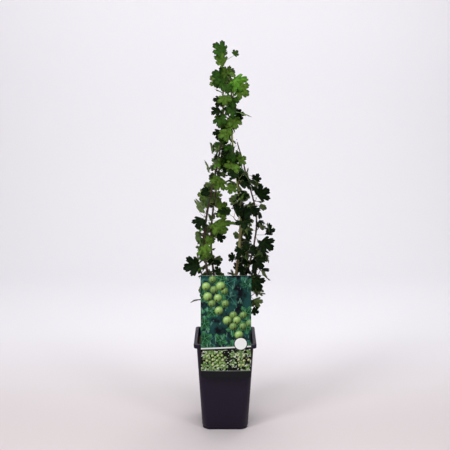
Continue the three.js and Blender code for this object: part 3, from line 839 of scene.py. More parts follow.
class Room:
    """The stems and the feet of all shoots, which twigs and leaves keep clear of."""

    def __init__(self, shoots):
        self.shoots = shoots
        self.hearts = np.array([shoot.heart for shoot in shoots])
        points, radii, owners = [], [], []
        for stem in STEMS:
            course = stem.course()
            for sample in range(SAMPLES):
                point, _ = point_along(course, sample / (SAMPLES - 1))
                points.append(point)
                radii.append(stem.radius(point.z))
                owners.append(STEM_OWNER)
        for shoot in shoots:
            points.append(shoot.base + shoot.outward * (FOOT_ROOM / 2))
            radii.append(FOOT_ROOM)
            owners.append(shoot.seed)
        self.points = np.array(points)
        self.radii = np.array(radii)
        self.owners = np.array(owners)
        self.vectors = points

    def off_pot(self, point):
        if point.z < RIM_TOP + NEIGHBOUR_CLEAR:
            return False
        return point.y >= NEIGHBOUR_CLEAR - RIM_HALF or point.z >= CARD_TOP + NEIGHBOUR_CLEAR

    def in_space(self, points, shoot, radius=STALK_RADIUS):
        """Whether points are clear of the pot and nearest to the heart of their own shoot."""
        if not all(self.off_pot(point) for point in points):
            return False
        away = self.hearts - np.array(shoot.heart)
        spans = np.linalg.norm(away, axis=1)
        others = spans > 1e-6
        units = away[others] / spans[others, None]
        reaches = (np.array(points) - np.array(shoot.heart)) @ units.T
        return bool(np.all(reaches < spans[others] / 2 - radius - SPACE_MARGIN))

    def ball_clear(self, centre, radius, owner):
        spans = np.linalg.norm(self.points - np.array(centre), axis=1)
        touching = (spans <= radius + self.radii + LIMB_CLEAR) & (self.owners != owner)
        return not touching.any()

    def blade_clear(self, leaf, loop, owner):
        spans = np.linalg.norm(self.points - np.array(leaf.palm), axis=1)
        reaches = self.radii + LIMB_CLEAR + LEAF_THICKNESS / 2
        near = np.flatnonzero((spans <= 1.1 * leaf.size + reaches) & (self.owners != owner))
        for place in near:
            point = self.vectors[place]
            for corner, after in zip(loop, loop[1:] + loop[:1]):
                nearest = closest_point_on_tri(point, leaf.palm, corner, after)
                if (nearest - point).length <= reaches[place]:
                    return False
        return True


def draw_leaf(root, heading, azimuth, freedom, roll, stalk_length=(7, 17), leaf_size=(20, 29)):
    """One drawn place for a leaf. Its stalk leaves the twig, and its blade turns to the light."""
    opening = math.radians(roll(40, 88))
    swing = roll(-1, 1) * mix(30, 180, freedom)
    side = turned(across(UP, heading), heading, azimuth + swing)
    stalk = heading * math.cos(opening) + side * math.sin(opening)
    palm = root + stalk * roll(*stalk_length)
    size = roll(*leaf_size) * mix(1, 0.72, freedom)
    outward = Vector((palm.x, palm.y, 0)).normalized()
    droop = roll(-1.2, 0.1)
    forward = (stalk + outward * 0.2 + UP * droop).normalized()
    light = outward * 1.1 + UP * 0.45
    light += Vector((roll(-0.6, 0.6), roll(-0.6, 0.6), roll(-0.35, 0.35)))
    return Leaf(root, palm, forward, across(light, forward), size, roll(-0.26, 0.14))


def apart(leaf, kept, spacing):
    return all((other.palm - leaf.palm).length > spacing * (other.size + leaf.size) for other in kept)


def leaf_fits(leaf, kept, room, owner, spacing):
    loop = [*leaf.rim(), leaf.seat]
    if not apart(leaf, kept, spacing):
        return False
    for share in (0.3, 0.6, 0.9):
        if not room.ball_clear(leaf.root.lerp(leaf.seat, share), STALK_RADIUS, owner):
            return False
    return room.blade_clear(leaf, loop, owner)


def leaves_on(points, count, shoot, kept, key, room):
    """Draws leaves round a twig, keeping the first of each that stays in its shoot's space."""
    for place in range(count):
        point, heading = point_along(points, mix(0.2, 0.95, place / (count - 1)))
        for draw in range(DRAWS):
            roll = dice(shoot.seed, key + place, draw)
            leaf = draw_leaf(point, heading, GOLDEN_ANGLE * (place + key), draw / DRAWS, roll)
            inside = room.in_space([*leaf.rim(), leaf.seat, leaf.palm], shoot)
            if inside and leaf_fits(leaf, kept, room, shoot.seed, SPACING):
                kept.append(leaf)
                break


def draw_twig(shoot, key, start, reach, joints, heading_of, room):
    """Draws a twig until one stays in its shoot's space and off the stems."""
    for draw in range(DRAWS):
        roll = dice(shoot.seed, key, draw)
        heading = heading_of(roll).normalized()
        drawn = reach * roll(0.8, 1.1) * mix(1, 0.6, draw / DRAWS)
        points = [start.copy()]
        for joint in range(joints):
            sway = Vector((roll(-0.16, 0.16), roll(-0.16, 0.16), roll(0.02, 0.2)))
            heading = (heading + sway).normalized()
            points.append(points[joint] + heading * (drawn / joints))
        spots = [point_along(points, share)[0] for share in (0.25, 0.5, 0.75, 1)]
        clear = all(room.ball_clear(spot, TWIG_FOOT, shoot.seed) for spot in spots)
        if clear and room.in_space(spots, shoot, TWIG_FOOT):
            return points
    return None


def grow_shoot(shoot, room):
    """The twigs and leaves of one shoot, by the rule that every shoot follows."""
    reach = mix(44, 20, (shoot.base.z - RIM_TOP) / (STEMS[0].top - RIM_TOP))

    def main_heading(roll):
        rise = math.radians(48 + roll(-14, 14))
        if shoot.is_tip:
            return shoot.along.copy()
        return shoot.outward * math.cos(rise) + shoot.along * math.sin(rise)

    main = draw_twig(shoot, TWIG_KEY, shoot.base, reach, 3, main_heading, room)
    if main is None:
        return None
    leaves = []
    leaves_on(main, 7, shoot, leaves, 0, room)
    point, heading = point_along(main, 0.3)

    def fork_heading(roll):
        side = turned(across(UP, heading), heading, roll(-150, 150))
        return side * roll(0.7, 1.1) + heading

    twigs = [(main, TWIG_FOOT, TWIG_TIP)]
    fork = draw_twig(shoot, FORK_KEY, point, 0.55 * reach, 2, fork_heading, room)
    if fork:
        twigs.append((fork, 0.75 * TWIG_FOOT, TWIG_TIP))
        leaves_on(fork, 4, shoot, leaves, FORK_LEAF_KEY, room)
    return Spray(twigs, leaves, shoot.seed, shoot.base)


def in_box(point, box):
    return all(low < value < high for low, value, high in zip(box[0], point, box[1]))


# How far leaves reach to the left and to the right, seen from the front, at rising heights.
OUTLINE = [
    (273, -70, 100), (305, -52, 92), (347, -52, 98), (372, -56, 100), (389, -90, 100),
    (408, -84, 108), (416, -62, 112), (437, -62, 114), (494, -68, 106), (514, -68, 86),
    (555, -64, 94), (586, -44, 98), (606, -40, 76), (618, -38, 62),
    (646, -25, 38), (671, -22, 32), (691, -20, 20), (716, -8, 20),
    (738, -7, 24), (756, -15, 44), (773, -16, 24), (800, -15, 24),
    (824, -14, 48), (840, -32, 36), (855, -28, 30), (871, -8, 16),
    (884, -10, 12), (901, -12, 26), (940, -20, 6),
]
# Where light shows between the stems: (lowest, highest, from the left, to the right).
SKY = [
    (376, 452, -16, 30), (452, 514, 6, 26), (514, 530, 12, 28), (550, 576, -16, 8),
    (576, 608, -8, 12), (442, 483, -36, -24), (483, 514, 78, 86), (566, 600, 42, 65),
]
SHED = 0.04  # the share of leaves that the bush has dropped anyway
SHED_KEY = 70


def stands(leaf, seed, place):
    """Whether a leaf is still on the bush: it keeps to the outline, and out of the sky."""
    middle = leaf.palm + leaf.forward * (0.3 * leaf.size)
    if dice(seed, SHED_KEY, place)(0, 1) < SHED:
        return False
    row = max(at for at, level in enumerate(OUTLINE[:-1]) if at == 0 or level[0] <= middle.z)
    low, high = OUTLINE[row], OUTLINE[row + 1]
    share = min(1, max(0, (middle.z - low[0]) / (high[0] - low[0])))
    if not mix(low[1], high[1], share) < middle.x < mix(low[2], high[2], share):
        return False
    return not any(
        low < middle.z < high and left < middle.x < right for low, high, left, right in SKY
    )


SPUR_KEY = 9000
SPUR_LEAF = (14, 22)
SPUR_STALK = (7, 19)
SPUR_DRAWS = 22
SPUR_SPACING = 0.36
OPEN_BELOW = 600  # under this height spurs keep to the outer side, and there are fewer leaves
NODE_START, NODE_END = 10, 4  # a stem's foot and its tip are bare of nodes for so long


def nodes_of(stem, gap):
    """The nodes on a stem, each a height and the bearing that its bud faces."""
    spots = []
    height = STUB_TOP + NODE_START
    place = 0
    while height < stem.top - NODE_END:
        spots.append((height, GOLDEN_ANGLE * place + stem.face))
        height += gap * (0.85 + 0.3 * (place % 3) / 2)
        place += 1
    return spots


def grow_spurs(stem, stem_place, gap, kept, room, box):
    """Short spurs that clothe a stem between its shoots, each with a few smaller leaves.
    Low down they keep to the outer side, so that light shows between the stems."""
    sprays = []
    for place, (height, bearing) in enumerate(nodes_of(stem, gap)):
        seat = stem.point(height)
        along = stem.along(height)
        open_side = height < OPEN_BELOW
        leaves = []
        seed = SPUR_KEY + 100 * stem_place + place
        count = 1 + int(dice(seed, 1)(0, 2.5 if open_side else 2.99))
        for leaf_place in range(count):
            for draw in range(SPUR_DRAWS):
                roll = dice(seed, 2 + leaf_place, draw)
                facing = bearing + roll(-60, 60)
                if open_side:
                    away = math.degrees(math.atan2(seat.y, seat.x))
                    facing = away + roll(-115, 115)
                heading = across(polar(facing, 1, 0), along)
                root = seat + heading * stem.radius(height)
                leaf = draw_leaf(
                    root, (heading + UP * roll(0.1, 0.9)).normalized(), roll(0, 360),
                    draw / SPUR_DRAWS, roll, SPUR_STALK, SPUR_LEAF,
                )
                loop = [*leaf.rim(), leaf.seat]
                inside = all(room.off_pot(point) and in_box(point, box) for point in loop)
                standing = inside and stands(leaf, seed, leaf_place)
                if standing and leaf_fits(leaf, kept, room, SPUR_OWNER, SPUR_SPACING):
                    kept.append(leaf)
                    leaves.append(leaf)
                    break
        if leaves:
            sprays.append(Spray([], leaves, seed, seat))
    return sprays


STUB_SHARE = 0.12  # how much of a twig without leaves stays
TWIG_PARTS = 40  # spots on a twig where a leaf is looked for


def cut_back(points, leaves):
    """A twig as far as its last leaf, so that none ends bare. A twig without leaves is a stub."""
    last = STUB_SHARE
    for part in range(TWIG_PARTS + 1):
        spot, _ = point_along(points, part / TWIG_PARTS)
        if any((leaf.root - spot).length < 1 for leaf in leaves):
            last = max(last, part / TWIG_PARTS)
    count = len(points)
    return [point_along(points, last * place / (count - 1))[0] for place in range(count)]


DEEP, MID, FRESH, UNDERSIDE, FRESH_UNDERSIDE, FULL = range(6)  # the leaves' materials
UPPER = (DEEP, MID, FRESH, FULL)
UNDER = (UNDERSIDE, UNDERSIDE, FRESH_UNDERSIDE, UNDERSIDE)
BROAD_KEY = 9900
BROAD_FACE, BROAD_CURL = Vector((0, -1, 0.45)), 0.06  # where broad leaves face before they turn
# The broad leaves that give the bush its face: the stem and the height where the stalk springs,
# the palm, where the tip points, the size, how far the blade turns from the front, and the tint's
# place in UPPER and UNDER.
# The deep tint, 0, is partly painted shade, for leaves on the right, low down and inside the bush.
BROAD = [
    ("right", 418, (92, -2, 456), (0.75, -0.3, -0.52), 31, 0, 0),
    ("right", 551, (82, -4, 572), (0.78, -0.25, 0.5), 27, 10, 0),
    ("right", 588, (74, 0, 609), (0.3, -0.3, 0.9), 15, 0, 0),
    ("right", 472, (101, 6, 478), (0.4, -0.2, 0.88), 25, 58, 0),
    ("right", 405, (72, -30, 419), (0.62, -0.35, -0.6), 28, 0, 0),
    ("right", 517, (62, -16, 539), (0.5, -0.3, -0.75), 22, -20, 0),
    ("right_low", 350, (69, -30, 367), (0.55, -0.3, -0.6), 28, 0, 0),
    ("right_low", 279, (68, -20, 292), (0.9, -0.2, -0.35), 15, 0, 0),
    ("left", 519, (-61, -26, 539), (-0.05, -0.25, 0.97), 32, 118, 1),
    ("left", 523, (-56, -22, 514), (-0.42, -0.3, -0.8), 23, 10, 0),
    ("left", 480, (-64, -28, 482), (0.05, -0.25, -0.95), 32, 116, 1),
    ("left", 604, (-12, -26, 611), (-0.45, -0.35, -0.8), 29, -25, 1),
    ("left", 552, (-11, -30, 545), (0.93, -0.25, -0.16), 27, 44, 1),
    ("left", 514, (-17, -30, 508), (0.5, -0.3, -0.65), 30, 0, 1),
    ("left", 462, (-16, -24, 474), (0.92, -0.3, -0.05), 20, 30, 0),
    ("left", 372, (-14, -40, 390), (-0.8, -0.3, 0.35), 20, 25, 0),
    ("left", 398, (-24, -34, 417), (0.9, -0.3, -0.1), 18, 60, 0),
    ("front", 414, (19, -52, 428), (-0.75, -0.25, 0.5), 15, 20, 0),
    ("left", 668, (-32, -14, 676), (-0.12, -0.1, 0.97), 22, 72, 1),
    ("left", 624, (-41, -18, 633), (-0.06, -0.1, 1), 24, 96, 1),
    ("left", 768, (-14, -12, 770), (-0.85, -0.3, -0.35), 22, 20, 0),
    ("left", 862, (-6, -16, 880), (-0.75, -0.25, 0.6), 27, 10, 1),
    ("left", 889, (-7, -10, 906), (-0.66, -0.25, 0.7), 27, 10, 3),
    ("left", 884, (22, -4, 900), (0.6, -0.2, 0.7), 12, 0, 3),
    ("left_low", 398, (-68, -14, 401), (-0.9, -0.3, -0.12), 34, 10, 0),
    ("left_low", 311, (-62, -22, 318), (-0.95, -0.15, -0.1), 24, 76, 0),
    ("front", 825, (23, -24, 840), (0.62, -0.4, -0.58), 31, 0, 2),
    ("front", 800, (34, -26, 821), (0.72, -0.4, -0.5), 25, 18, 1),
    ("front", 834, (-4, -28, 842), (-0.7, -0.4, 0.56), 33, 0, 3),
    ("front", 838, (2, -22, 856), (-0.4, -0.5, 0.7), 20, 0, 1),
    ("front", 812, (6, -30, 828), (0.0, -0.5, -0.8), 22, 10, 3),
    ("front", 761, (32, -20, 767), (0.95, -0.25, -0.16), 31, -63, 1),
    ("front", 761, (14, -28, 776), (0.15, -0.45, -0.85), 28, -38, 3),
    ("left", 800, (-10, -20, 797), (-0.55, -0.3, -0.75), 20, 0, 0),
    ("left", 790, (0, -27, 803), (0.0, -0.4, -0.9), 21, 10, 1),
    ("front", 784, (18, -26, 797), (0.15, -0.4, -0.9), 20, 20, 3),
    ("left", 760, (-10, -22, 757), (-0.2, -0.4, -0.9), 27, 20, 3),
    ("front", 752, (19, -25, 752), (0.25, -0.4, -0.85), 26, -15, 1),
    ("left", 715, (-11, -18, 722), (-0.35, -0.3, -0.85), 20, 0, 0),
    ("front", 718, (6, -34, 726), (-0.1, -0.5, -0.8), 27, 36, 1),
    ("front", 654, (33, -34, 657), (0.8, -0.2, 0.45), 17, 30, 1),
    ("front", 655, (20, -42, 647), (-0.5, -0.4, -0.75), 25, 0, 1),
    ("front", 593, (16, -48, 598), (-0.3, -0.4, -0.85), 20, 15, 1),
    ("front", 514, (26, -56, 508), (-0.9, -0.2, 0.3), 17, 72, 1),
    ("front", 502, (42, -72, 517), (0.1, -0.96, -0.2), 25, 0, 0),
    ("front", 452, (46, -70, 462), (0.3, -0.92, -0.2), 22, 10, 0),
    ("front", 556, (36, -66, 572), (0.15, -0.9, 0.3), 20, 0, 1),
]


def broad_leaves(stem):
    """The broad leaves of a stem, each a spray of its own."""
    sprays = []
    for place, (name, height, palm, heading, size, turn, tint) in enumerate(BROAD):
        if name != stem.name:
            continue
        forward = Vector(heading).normalized()
        normal = turned(across(BROAD_FACE, forward), forward, turn)
        palm = Vector(palm)
        seat = stem.point(height)
        towards = across(palm - seat, UP)
        root = seat + towards * stem.radius(height)
        leaf = Leaf(root, palm, forward, normal, size, BROAD_CURL)
        sprays.append(Spray([], [leaf], BROAD_KEY + place, seat, (UPPER[tint], UNDER[tint])))
    return sprays


# ---- Leaves, in their own outline ---------------------------------------------------------------

# Half a leaf: degrees from the tip, and reach as a share of its size. Three broad lobes with
# round teeth and a smaller one to each side make a fan on a wedge-shaped base.
HALF_RIM = [
    (0, 1.0), (6, 0.985), (10, 0.90), (15, 0.95), (20, 0.91), (24, 0.78),
    (28, 0.60), (32, 0.76), (36, 0.89), (41, 0.85), (45, 0.96), (51, 0.98), (55, 0.87),
    (60, 0.91), (65, 0.86), (69, 0.70),
    (74, 0.50), (79, 0.64), (84, 0.72), (89, 0.66), (94, 0.68), (100, 0.61), (108, 0.45),
    (124, 0.30), (150, 0.22),
]
LOBE_HEARTS = [(0, 0.54), (48, 0.52), (90, 0.36)]
SINUSES = [(28, 0.36), (74, 0.31)]
FULL_FAN, NARROWING = 50, 0.0068  # past so many degrees a leaf without lobes would narrow


def leaf_pattern(name, lobing):
    """A flat leaf with its palm at the origin and its tip along +Y. Two sheets share the rim,
    and Z tells how far a point stands proud, from -1 beneath to 1 above. Lobing is 1 where the
    lobes are cut as deep as in the outline, and 0 for a plain fan."""
    shape = bmesh.new()

    def at(angle, reach, proud):
        turn = math.radians(angle)
        return shape.verts.new((reach * math.sin(turn), reach * math.cos(turn), proud))

    def fan(centre, points):
        for place in range(0, len(points) - 1, 2):
            shape.faces.new((centre, *points[place : place + 3]))

    palm = shape.verts.new((0, 0, 1))
    seat = shape.verts.new((0, -LEAF_BASE, 0))
    hearts = [at(angle, reach, 0.6) for angle, reach in LOBE_HEARTS]
    sinuses = [at(angle, reach, 0.6) for angle, reach in SINUSES]
    rim = []
    for angle, reach in HALF_RIM:
        fan_reach = 1 - NARROWING * max(0, angle - FULL_FAN)
        rim.append((angle, at(angle, mix(fan_reach, reach, lobing), 0)))
    fan(palm, [hearts[0], sinuses[0], hearts[1], sinuses[1], hearts[2], seat])
    bounds = [0, SINUSES[0][0], SINUSES[1][0], 180]
    ends = [None, *sinuses, seat]
    for lobe, heart in enumerate(hearts):
        edge = [vert for angle, vert in rim if bounds[lobe] <= angle <= bounds[lobe + 1]]
        before = [ends[lobe]] if lobe else []
        fan(heart, [*before, *edge, ends[lobe + 1]])
    whole = shape.verts[:] + shape.edges[:] + shape.faces[:]
    bmesh.ops.mirror(shape, geom=whole, axis="X", merge_dist=1e-4)
    whole = shape.verts[:] + shape.edges[:] + shape.faces[:]
    under = bmesh.ops.duplicate(shape, geom=whole)["geom"]
    for item in under:
        if isinstance(item, bmesh.types.BMVert):
            item.co.z = -item.co.z
        if isinstance(item, bmesh.types.BMFace):
            item.material_index = 1
    bmesh.ops.remove_doubles(shape, verts=shape.verts, dist=1e-4)
    bmesh.ops.recalc_face_normals(shape, faces=shape.faces)
    sheet = shape.loops.layers.uv.new(LEAF_MAP)
    for face in shape.faces:
        face.smooth = True
        for loop in face.loops:
            loop[sheet].uv = (0.5 + loop.vert.co.x / 2, 0.5 + loop.vert.co.y / 2)
    for edge in shape.edges:
        edge.smooth = len({face.material_index for face in edge.link_faces}) == 1
    return make_mesh(name, shape)


def add_leaf(shape, pattern, leaf, growth, twist, thickness, tints, roll):
    """Lays one leaf: folded along its midrib, puffed between its veins and wavy at its rim."""
    points, faces = add_pattern(shape, pattern)
    fold, ripple, phase = roll(0.05, 0.6), roll(0.02, 0.08), roll(0, 6.3)
    tip_droop, lobe_droop = roll(0, 0.4), roll(0.05, 0.35)
    normal = turned(leaf.normal, leaf.forward, roll(-twist, twist))
    side = normal.cross(leaf.forward)
    width, size = roll(0.9, 1.1), leaf.size * growth * roll(0.92, 1.08)
    for vert in points:
        v, u, proud = vert.co
        reach = math.hypot(u, v)
        angle = math.atan2(v, u)
        off = min(abs(abs(angle) - vein) for vein in (0, *VEINS))
        lift = leaf.curl * reach * reach + fold * abs(v) - tip_droop * max(u, 0) ** 2
        lift -= lobe_droop * v * v
        lift += 0.2 * reach * math.sin(min(off, 1.2)) * (1.05 - reach)
        lift += ripple * reach**3 * math.sin(3 * angle + phase)
        flat = leaf.forward * u + side * v * width + normal * lift
        vert.co = (leaf.palm + flat * size) * MM + normal * (proud * thickness / 2)
    for face in faces:
        face.material_index = tints[face.material_index]


STALK_RADII, STALK_STEPS = (0.62, 0.42), 6
STALK_SAG = 0.6
STALK_END = 0.08  # how near to the palm it runs on under the blade, as a share of the leaf's size


def add_stalk(shape, leaf):
    """A leaf's round stalk, which tapers over its first four steps and sags a little."""
    sag = (leaf.root + leaf.seat) / 2 - UP * STALK_SAG
    end = leaf.palm - leaf.forward * (STALK_END * leaf.size)
    line = smooth_path([leaf.root, sag, leaf.seat, end], STALK_STEPS)
    radii = [mix(*STALK_RADII, min(1, step / 4)) * MM for step in range(STALK_STEPS + 1)]
    add_limb(shape, [point * MM for point in line], radii, 6, material=1)


def tints_of(spray, roll):
    """The materials of the upper and lower sides of a spray's leaves, lighter or darker as painted light
    and shade. The left, which faces the key light, and the tips are lighter. The right and the spurs,
    which stand in the shade of the shoots, are darker."""
    side = spray.base.x
    tone = roll(0, 1) - 0.012 * max(side, 0) - 0.005 * min(side, 0)
    tone += 0.1 if spray.base.z > 780 else 0
    tone -= 0 if spray.twigs else 0.3
    tone -= 0.25 if side > 0 and spray.base.z < 500 else 0
    if tone > 0.84:
        return FRESH, FRESH_UNDERSIDE
    if tone > 0.42:
        return MID, UNDERSIDE
    if tone > 0.2:
        return FULL, UNDERSIDE
    return DEEP, UNDERSIDE


# ---- Operators, one for each group of pieces ----------------------------------------------------


# The pot's rounded edges, in millimetres. Each row is one level: how far in from the face, how
# much off the corner's radius, and how far from the edge, up or down.
FOOT_EDGE = [(2.4, 2.2, 0), (1.3, 0.6, 0.5), (0.9, 0, 1.6)]
SKIRT_EDGE = [(0.9, 0, 0.3), (0.3, 0, 1.2)]
RIM_EDGE = [(0, 0, 1.8), (0.4, 0.3, 0.6), (1.2, 0.8, 0)]
MOUTH_EDGE = [(-1.0, 1.0, 0), (-0.3, 1.2, 0.6)]
STEP_HEIGHT, STEP_DEPTH, STEP_EDGE = 0.008, 0.0009, 0.0004  # the small step at the foot
SKIRT_START = 0.0006  # how far out of the wall's face the rim's skirt starts
POT_FLOOR, FLOOR_EDGE = 0.0026, 0.006  # heights of the floor, and where its rounded edge starts
DRAIN_PLACES, DRAIN_RADIUS, DRAIN_CUT = (-0.03, 0.03), 0.006, 0.012


class BUSH_OT_pot(Operator):
    """Mould the pot: tapered walls, a turned-down rim, a stepped foot and drain holes"""

    bl_idname = "bush.pot"
    bl_label = "Pot"

    def execute(self, context):
        sizes = context.scene.bush_pot
        rim, top, foot = sizes.rim_width / 2, sizes.top_width / 2, sizes.foot_width / 2
        height, wall = sizes.height, sizes.wall
        if wall * 4 > foot:
            raise RuntimeError("the pot's wall is too thick for its foot")

        def wall_level(z, inset=0.0):
            share = z / height
            corner = mix(sizes.foot_corner, sizes.rim_corner, share)
            return mix(foot, top, share) - inset, corner - inset / 2, z

        def edge(rows, half, corner, z, way):
            return [(half - row[0] * MM, corner - row[1] * MM, z + way * row[2] * MM) for row in rows]

        step_half = wall_level(STEP_HEIGHT)[0] - STEP_DEPTH
        skirt = height - sizes.skirt
        rim_corner, foot_corner = sizes.rim_corner, sizes.foot_corner
        shape = bmesh.new()
        levels = [
            *edge(FOOT_EDGE, foot, foot_corner, 0, 1),
            (step_half, foot_corner, STEP_HEIGHT - STEP_EDGE),
            (step_half + STEP_EDGE, foot_corner, STEP_HEIGHT),
            wall_level(STEP_HEIGHT + 3 * STEP_EDGE),
            wall_level(height * 0.35),
            wall_level(height * 0.7),
            wall_level(skirt - 0.001),
            (wall_level(skirt)[0] + SKIRT_START, rim_corner, skirt),
            *edge(SKIRT_EDGE, rim, rim_corner, skirt, 1),
            *edge(RIM_EDGE, rim, rim_corner, height, -1),
            *edge(MOUTH_EDGE, top - wall, rim_corner, height, -1),
            wall_level(height - 0.002, wall),
            wall_level(FLOOR_EDGE, wall),
            (wall_level(POT_FLOOR, wall)[0] - 0.002, foot_corner - 0.003, POT_FLOOR),
        ]
        stack(shape, levels)
        materials = [paint_plastic(sizes.plastic)]
        pot = dress("moulded_pot", shape, materials, ["pot"])

        drill = bmesh.new()
        sizing = {"radius1": DRAIN_RADIUS, "radius2": DRAIN_RADIUS, "depth": DRAIN_CUT}
        for x in DRAIN_PLACES:
            for y in DRAIN_PLACES:
                hole = bmesh.ops.create_cone(drill, cap_ends=True, segments=24, **sizing)
                bmesh.ops.translate(drill, verts=hole["verts"], vec=(x, y, 0))
        cutter = make_piece("drain_cutter", drill, [])
        drains = pot.modifiers.new("drains", "BOOLEAN")
        drains.operation = "DIFFERENCE"
        drains.object = cutter
        graph = context.evaluated_depsgraph_get()
        cut = bpy.data.meshes.new_from_object(pot.evaluated_get(graph))
        pot.modifiers.clear()
        pot.data = cut
        pot.data.set_sharp_from_angle(angle=CREASE)
        bpy.data.objects.remove(cutter)
        return {"FINISHED"}


SOIL_FOOT, SOIL_FOOT_CORNER = 0.0535, 0.018  # half width and corner radius on the pot's floor
SOIL_WAIST_CORNER, SOIL_CORNER = 0.012, 0.0065  # corner radii half way up and at the top
BODY_DROP, SURFACE_DROP = 0.004, 0.002  # how far both lie under the compost's full height
SOIL_GRID, SOIL_SHEET = 70, 0.003  # the surface's squares to a side, and its thickness
LUMPS, GRAINS = 95, 330  # how many lumps and grains the noise lays along a metre
MOUND_HEIGHT, MOUND_WIDTH = 0.0035, 0.03  # the compost is drawn up round the crown
CRUMB_SEED, CRUMB_SIZES, CRUMB_SINK = 31, (0.0006, 0.0021), 0.0014
CHIP = (2.1, 0.8, 0.4)  # a bark chip's length, width and thickness, as shares of a crumb


class BUSH_OT_soil(Operator):
    """Fill the pot with lumpy compost, strewn with crumbs and bark chips"""

    bl_idname = "bush.soil"
    bl_label = "Compost"

    def execute(self, context):
        sizes = context.scene.bush_soil
        half, bottom, top = SOIL_HIGH.x, SOIL_LOW.z, SOIL_HIGH.z
        relief = sizes.relief * 0.6
        edge = half - 0.0003
        inner = edge - SOIL_CORNER

        def lumps(x, y):
            return noise.noise(Vector((x, y, 0)) * LUMPS)

        shape = bmesh.new()
        levels = [
            (SOIL_FOOT, SOIL_FOOT_CORNER, bottom),
            (mix(SOIL_FOOT, half, 0.5), SOIL_WAIST_CORNER, mix(bottom, top, 0.5)),
            (half - 0.0004, SOIL_CORNER, top - BODY_DROP),
        ]
        stack(shape, levels)
        made = bmesh.ops.create_grid(shape, x_segments=SOIL_GRID, y_segments=SOIL_GRID, size=edge)
        for vert in made["verts"]:
            x, y, _ = vert.co
            corner = Vector((max(abs(x) - inner, 0), max(abs(y) - inner, 0)))
            if corner.x and corner.y and corner.length > SOIL_CORNER:
                corner *= SOIL_CORNER / corner.length
                x = math.copysign(inner + corner.x, x)
                y = math.copysign(inner + corner.y, y)
            rough = lumps(x, y) + 0.6 * noise.noise(Vector((x, y, 3)) * GRAINS)
            mound = MOUND_HEIGHT * math.exp(-((x * x + y * y) / MOUND_WIDTH**2))
            vert.co = (x, y, top - SURFACE_DROP + rough * relief + mound)
        sheet = list({face for vert in made["verts"] for face in vert.link_faces})
        bmesh.ops.solidify(shape, geom=sheet, thickness=SOIL_SHEET)
        for place in range(sizes.crumbs):
            roll = dice(CRUMB_SEED, place)
            x, y = roll(-inner, inner), roll(-inner, inner)
            width = roll(*CRUMB_SIZES) * (1.6 if place % 9 == 0 else 1)
            if place % 4 == 0:
                made = bmesh.ops.create_cube(shape, size=2)["verts"]
                factors = [width * share for share in CHIP]
            else:
                made = bmesh.ops.create_icosphere(shape, subdivisions=1, radius=1)["verts"]
                factors = (width, width * roll(0.6, 1), width * roll(0.5, 0.9))
            bmesh.ops.scale(shape, verts=made, vec=factors)
            lean = Quaternion((roll(-1, 1), roll(-1, 1), roll(-1, 1)), roll(0, 1.2))
            spin = Quaternion(UP, roll(0, 6.3))
            bmesh.ops.rotate(shape, verts=made, matrix=(lean @ spin).to_matrix())
            height = top - CRUMB_SINK + lumps(x, y) * relief
            bmesh.ops.translate(shape, verts=made, vec=(x, y, height))
        bmesh.ops.recalc_face_normals(shape, faces=shape.faces)
        dress("compost", shape, [paint_compost(sizes.compost)], ["soil"])
        return {"FINISHED"}


BOARD = 0.0008  # the card's thickness
CARD_STRIPS = 16  # the board is cut into so many strips, so that it can bow
TONGUE_HALF, TONGUE_FOOT = 0.018, 0.209  # half width, and how low it reaches inside the pot
TONGUE_SEAT, TONGUE_BEND = 0.0004, 0.0022  # clearance over the rim, and the bend's radius


def picked(kind, items):
    return [item for item in items if isinstance(item, kind)]


